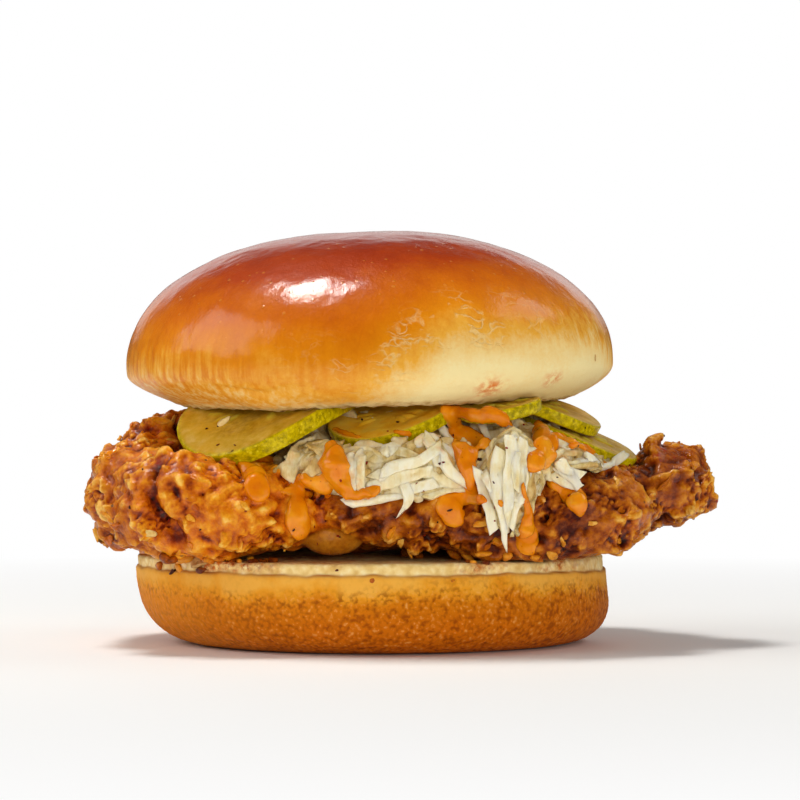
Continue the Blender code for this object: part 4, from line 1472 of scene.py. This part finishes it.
bits = {  # front: X, Z, length, width, thickness in mm and lean in degrees; around: how many more
    "crumbs": {
        "seed": 31, "slot": "fried_coating", "where": "heel", "around": 64, "behindOnly": False,
        "colours": [(96, 34, 0), (178, 88, 4), (226, 146, 30)],
        "sizes": ((0.9, 2.4), (0.8, 1.7), (0.7, 1.3)),
        "front": [
            (8.2, 21.8, 4.0, 2.8, 2.4, 20), (10.6, 21.3, 2.2, 1.8, 1.5, -30),
            (18.6, 22.6, 3.8, 2.4, 1.8, 10), (21.6, 21.9, 3.0, 2.2, 1.6, -20),
            (30.0, 22.0, 2.4, 1.8, 1.4, 40), (24.6, 22.4, 3.4, 1.5, 1.2, -8),
            (-40.4, 20.8, 5.6, 3.2, 1.8, -16), (-44.8, 21.4, 3.6, 2.6, 1.8, 60),
            (-37.6, 18.6, 3.4, 1.5, 1.0, 6), (-46.6, 19.6, 2.4, 1.8, 1.4, 20),
            (-34.0, 21.6, 3.0, 2.0, 1.4, 0), (36.4, 21.6, 2.2, 1.6, 1.2, 0),
            (-7.6, 18.6, 0.9, 0.5, 0.3, 20), (0.2, 16.3, 1.3, 1.0, 0.3, 30),
            (18.1, 16.3, 0.9, 0.7, 0.3, 0), (-36.0, 21.0, 2.8, 1.8, 1.3, 30),
            (-42.4, 19.2, 3.2, 1.4, 1.0, -40), (-30.6, 20.8, 2.4, 1.6, 1.0, 10),
            (-45.6, 21.8, 3.0, 2.4, 1.8, 0), (-26.8, 21.0, 2.0, 1.2, 0.9, 0),
        ],
    },
    "onionScraps": {
        "seed": 32, "slot": "cabbage", "where": "heel", "around": 9, "behindOnly": True,
        "colours": [(170, 112, 44), (206, 164, 100), (232, 206, 156)],
        "sizes": ((2.0, 5.0), (0.9, 1.8), (0.6, 1.0)),
        "front": [
            (-43.4, 19.4, 5.0, 1.7, 0.8, 72), (-37.4, 20.6, 6.8, 3.0, 1.2, 8),
            (-41.4, 20.2, 3.0, 1.6, 0.9, -30), (49.6, 65.6, 1.5, 1.0, 0.3, 80),
        ],
    },
    "seeds": {
        "seed": 33, "slot": "cabbage", "where": "fillet", "around": 6, "behindOnly": True,
        "colours": [(214, 170, 88), (236, 206, 132), (246, 226, 164)],
        "sizes": ((2.2, 2.9), (1.5, 2.0), (0.7, 0.9)),
        "front": [
            (-49.0, 26.9, 3.2, 2.3, 1.0, -12), (-32.6, 51.4, 3.4, 2.0, 0.8, 55),
        ],
    },
    "spiceFlecks": {
        "seed": 34, "slot": "fried_coating", "where": "all", "around": 150, "behindOnly": False,
        "colours": [(34, 10, 0), (92, 14, 0), (150, 34, 0)],
        "sizes": ((0.4, 1.0), (0.3, 0.7), (0.2, 0.4)),
        "front": [
            (24.0, 43.2, 1.1, 0.9, 0.4, 0), (-11.0, 34.8, 2.2, 1.0, 0.6, 60),
            (-14.0, 36.6, 1.4, 1.0, 0.5, 0), (17.4, 31.9, 1.1, 0.6, 0.3, 10),
            (43.9, 35.2, 0.9, 0.6, 0.3, 0), (-43.9, 18.3, 2.0, 1.2, 0.6, 20),
            (27.4, 32.6, 0.8, 0.4, 0.3, 70),
        ],
    },
}


def bitMaterial(name, colours):
    material, shader, place = newMaterial(name, 0.36, Specular_IOR_Level=0.30)
    cloud = patchy(place, 900.0, 0.30, 0.70)
    tone = varied(maskOf("light"), cloud, -0.25, 0.25)
    stops = [(share, *colour) for share, colour in zip((0.1, 0.5, 0.9), colours)]
    fill(shader, "Base Color", ramp(tone, stops))
    fill(shader, "Normal", bump(cloud, 0.6, 0.00020))
    return material


rim = {  # where crumbs gather on the heel: directions in degrees, then how far out and at what height
    "sides": (-134, -122, -58, -40, 14, 62, 75, 118, 150, 196), "spread": 5,
    "reach": (0.0475, 0.0528), "height": 0.0212,
}


def strewPlace(where, tree, dice):  # a place that shows, on the heel's rim, on the fillet or anywhere
    turn = dice.uniform(0, 360)
    if where == "heel":
        turn = dice.choice(rim["sides"]) + dice.gauss(0, rim["spread"])
        reach = dice.uniform(*rim["reach"])
        angle = math.radians(turn)
        start = Vector((reach * math.cos(angle), reach * math.sin(angle), rim["height"]))
        place, normal, _, _ = tree.find_nearest(start)
        return (place, normal) if normal.z > 0.6 else (None, None)
    return sideHit(tree, turn, dice.uniform(23, 44 if where == "fillet" else 52), (0.004, 0))


def makeBits(name, values, tree):
    heap = newHeap()
    for number, (x, z, length, width, thickness, lean) in enumerate(values["front"]):
        dice = diceFor(values["seed"], -number)
        place, normal = frontHit(tree, x, z)
        wish = (math.cos(math.radians(lean)), -0.1, math.sin(math.radians(lean)))
        up, lead = shardPose(normal, wish, dice.uniform(-0.2, 0.2))
        addShard(heap, place + normal * (0.3 * thickness * mm), up, lead,
                 (length * mm, width * mm, thickness * mm), dice.uniform(-0.15, 0.05), dice, 7, 12)
    laid = tries = 0
    while laid < values["around"]:
        tries += 1
        dice = diceFor(values["seed"], tries)
        place, normal = strewPlace(values["where"], tree, dice)
        if place is None or values["behindOnly"] and place.y < -0.015:
            continue
        wish = scatter(dice, 1, 1, 1)
        up, lead = shardPose(normal, wish, dice.uniform(-0.3, 0.3))
        sizes = [dice.uniform(*limits) * mm for limits in values["sizes"]]
        addShard(heap, place + normal * (0.3 * sizes[2]), up, lead, sizes,
                 dice.uniform(-0.2, 0.1), dice, 5, 9)
        laid += 1
    mesh = heapMesh(name, heap)
    return addPiece(name, mesh, bitMaterial(name + "Look", values["colours"]))


# camera, lights and floor

stage = {
    "sensor": 36, "lens": 194.05, "nearest": 0.05,
    "aim": (0, 0, 0.045), "lampColour": (1.0, 0.98, 0.95),
    "lamps": {  # place, size, watts, whether gloss shows it
        "overhead": ((-0.21, 0.07, 0.78), (0.26, 0.17), 4.0, True),
        "left": ((-0.97, -0.14, 0.60), (0.90, 0.72), 4.2, True),
        "right": ((0.78, 0.20, 0.80), (0.55, 0.40), 1.5, True),
        "behind": ((0.0, 1.60, 0.50), (1.6, 0.5), 2.2, True),
        "front": ((0.50, -1.45, 0.24), (1.3, 0.4), 10.5, False),
    },
    "sky": 0.20, "skyInGloss": 0.04,  # its strength on matt surfaces and in reflections
    "floorColour": (0.93, 0.93, 0.92, 1), "floorHalf": 9, "floorHeight": -0.0002,
    "fadeStart": 0.10, "fadeEnd": 0.40,  # where the floor fades into the white backdrop
}


def aimAt(thing, target):
    thing.rotation_euler = (Vector(target) - thing.location).to_track_quat("-Z", "Y").to_euler()


def makeStage():
    global nodeTree
    camera = bpy.data.cameras.new("frontCamera")
    camera.sensor_width = stage["sensor"]
    camera.lens = stage["lens"]
    camera.clip_start = stage["nearest"]
    viewer = placed("frontCamera", camera, viewPoint)
    aimAt(viewer, viewTarget)
    bpy.context.scene.camera = viewer
    bpy.context.scene.view_settings.view_transform = "Standard"

    for name, (place, size, watts, shine) in stage["lamps"].items():
        light = bpy.data.lights.new(name, "AREA")
        light.shape = "RECTANGLE"
        light.size, light.size_y = size
        light.energy = watts
        light.color = stage["lampColour"]
        lamp = placed(name, light, place)
        aimAt(lamp, stage["aim"])
        lamp.visible_camera = False
        lamp.visible_glossy = shine

    world = bpy.data.worlds.new("studio")
    bpy.context.scene.world = world
    world.use_nodes = True
    nodeTree = world.node_tree
    sky = nodeTree.nodes["Background"]
    sky.inputs["Color"].default_value = (1, 1, 1, 1)
    path = addNode("ShaderNodeLightPath")
    strength = fromTo(path.outputs["Is Glossy Ray"], 0, 1, stage["sky"], stage["skyInGloss"])
    fill(sky, "Strength", calc("MAXIMUM", path.outputs["Is Camera Ray"], strength))

    half = stage["floorHalf"]
    corners = [(-half, -half, 0), (half, -half, 0), (half, half, 0), (-half, half, 0)]
    floor = meshOf("floor", corners, [(0, 1, 2, 3)])
    paint, shader, place = newMaterial("paleFloor", 0.7)
    shader.inputs["Base Color"].default_value = stage["floorColour"]
    away = addNode("ShaderNodeVectorMath", {0: place}, operation="LENGTH").outputs["Value"]
    far = fromTo(away, stage["fadeStart"], stage["fadeEnd"])
    seen = addNode("ShaderNodeLightPath").outputs["Is Camera Ray"]
    glow = addNode("ShaderNodeEmission", {"Color": (1, 1, 1, 1), "Strength": 1.0})
    blend = addNode("ShaderNodeMixShader", {0: times(far, seen), 1: shader.outputs[0], 2: glow.outputs[0]})
    fill(nodeTree.nodes["Material Output"], "Surface", blend.outputs[0])
    floor.materials.append(paint)
    placed("floor", floor, (0, 0, stage["floorHeight"]))


makeStage()
print("camera, lights and floor set")
heelPiece = makeHeel(heelMaterial())
print("heel made")
fried = friedMaterial()
crust = makeFillet(fried)
print("fillet made,", len(crust.polygons), "faces")
dice = random.Random(pickle["seed"])
green = pickleMaterial()
slices = [makePickle(node, values, green, dice) for node, values in pickle["slices"].items()]
print("pickles made")
pickleTree = treeOf(*[piece.data for piece in slices])
shreds = makeSlaw(cabbageMaterial(), pickleTree, crust)
print("slaw made,", len(shreds.polygons), "faces")
crownPiece = makeCrown(crownMaterial(), pickleTree)
print("crown made")
allTree = treeOf(crust, shreds, *[piece.data for piece in slices])
sauceDrips = makeSauce(sauceMaterial(), allTree)
print("sauce made,", len(sauceDrips.data.polygons), "faces")
seen = [heelPiece, crownPiece, sauceDrips, *slices]
seenTree = treeOf(crust, shreds, *[piece.data for piece in seen])
for name, values in bits.items():
    makeBits(name, values, seenTree)
print("crumbs, seeds and scraps made")
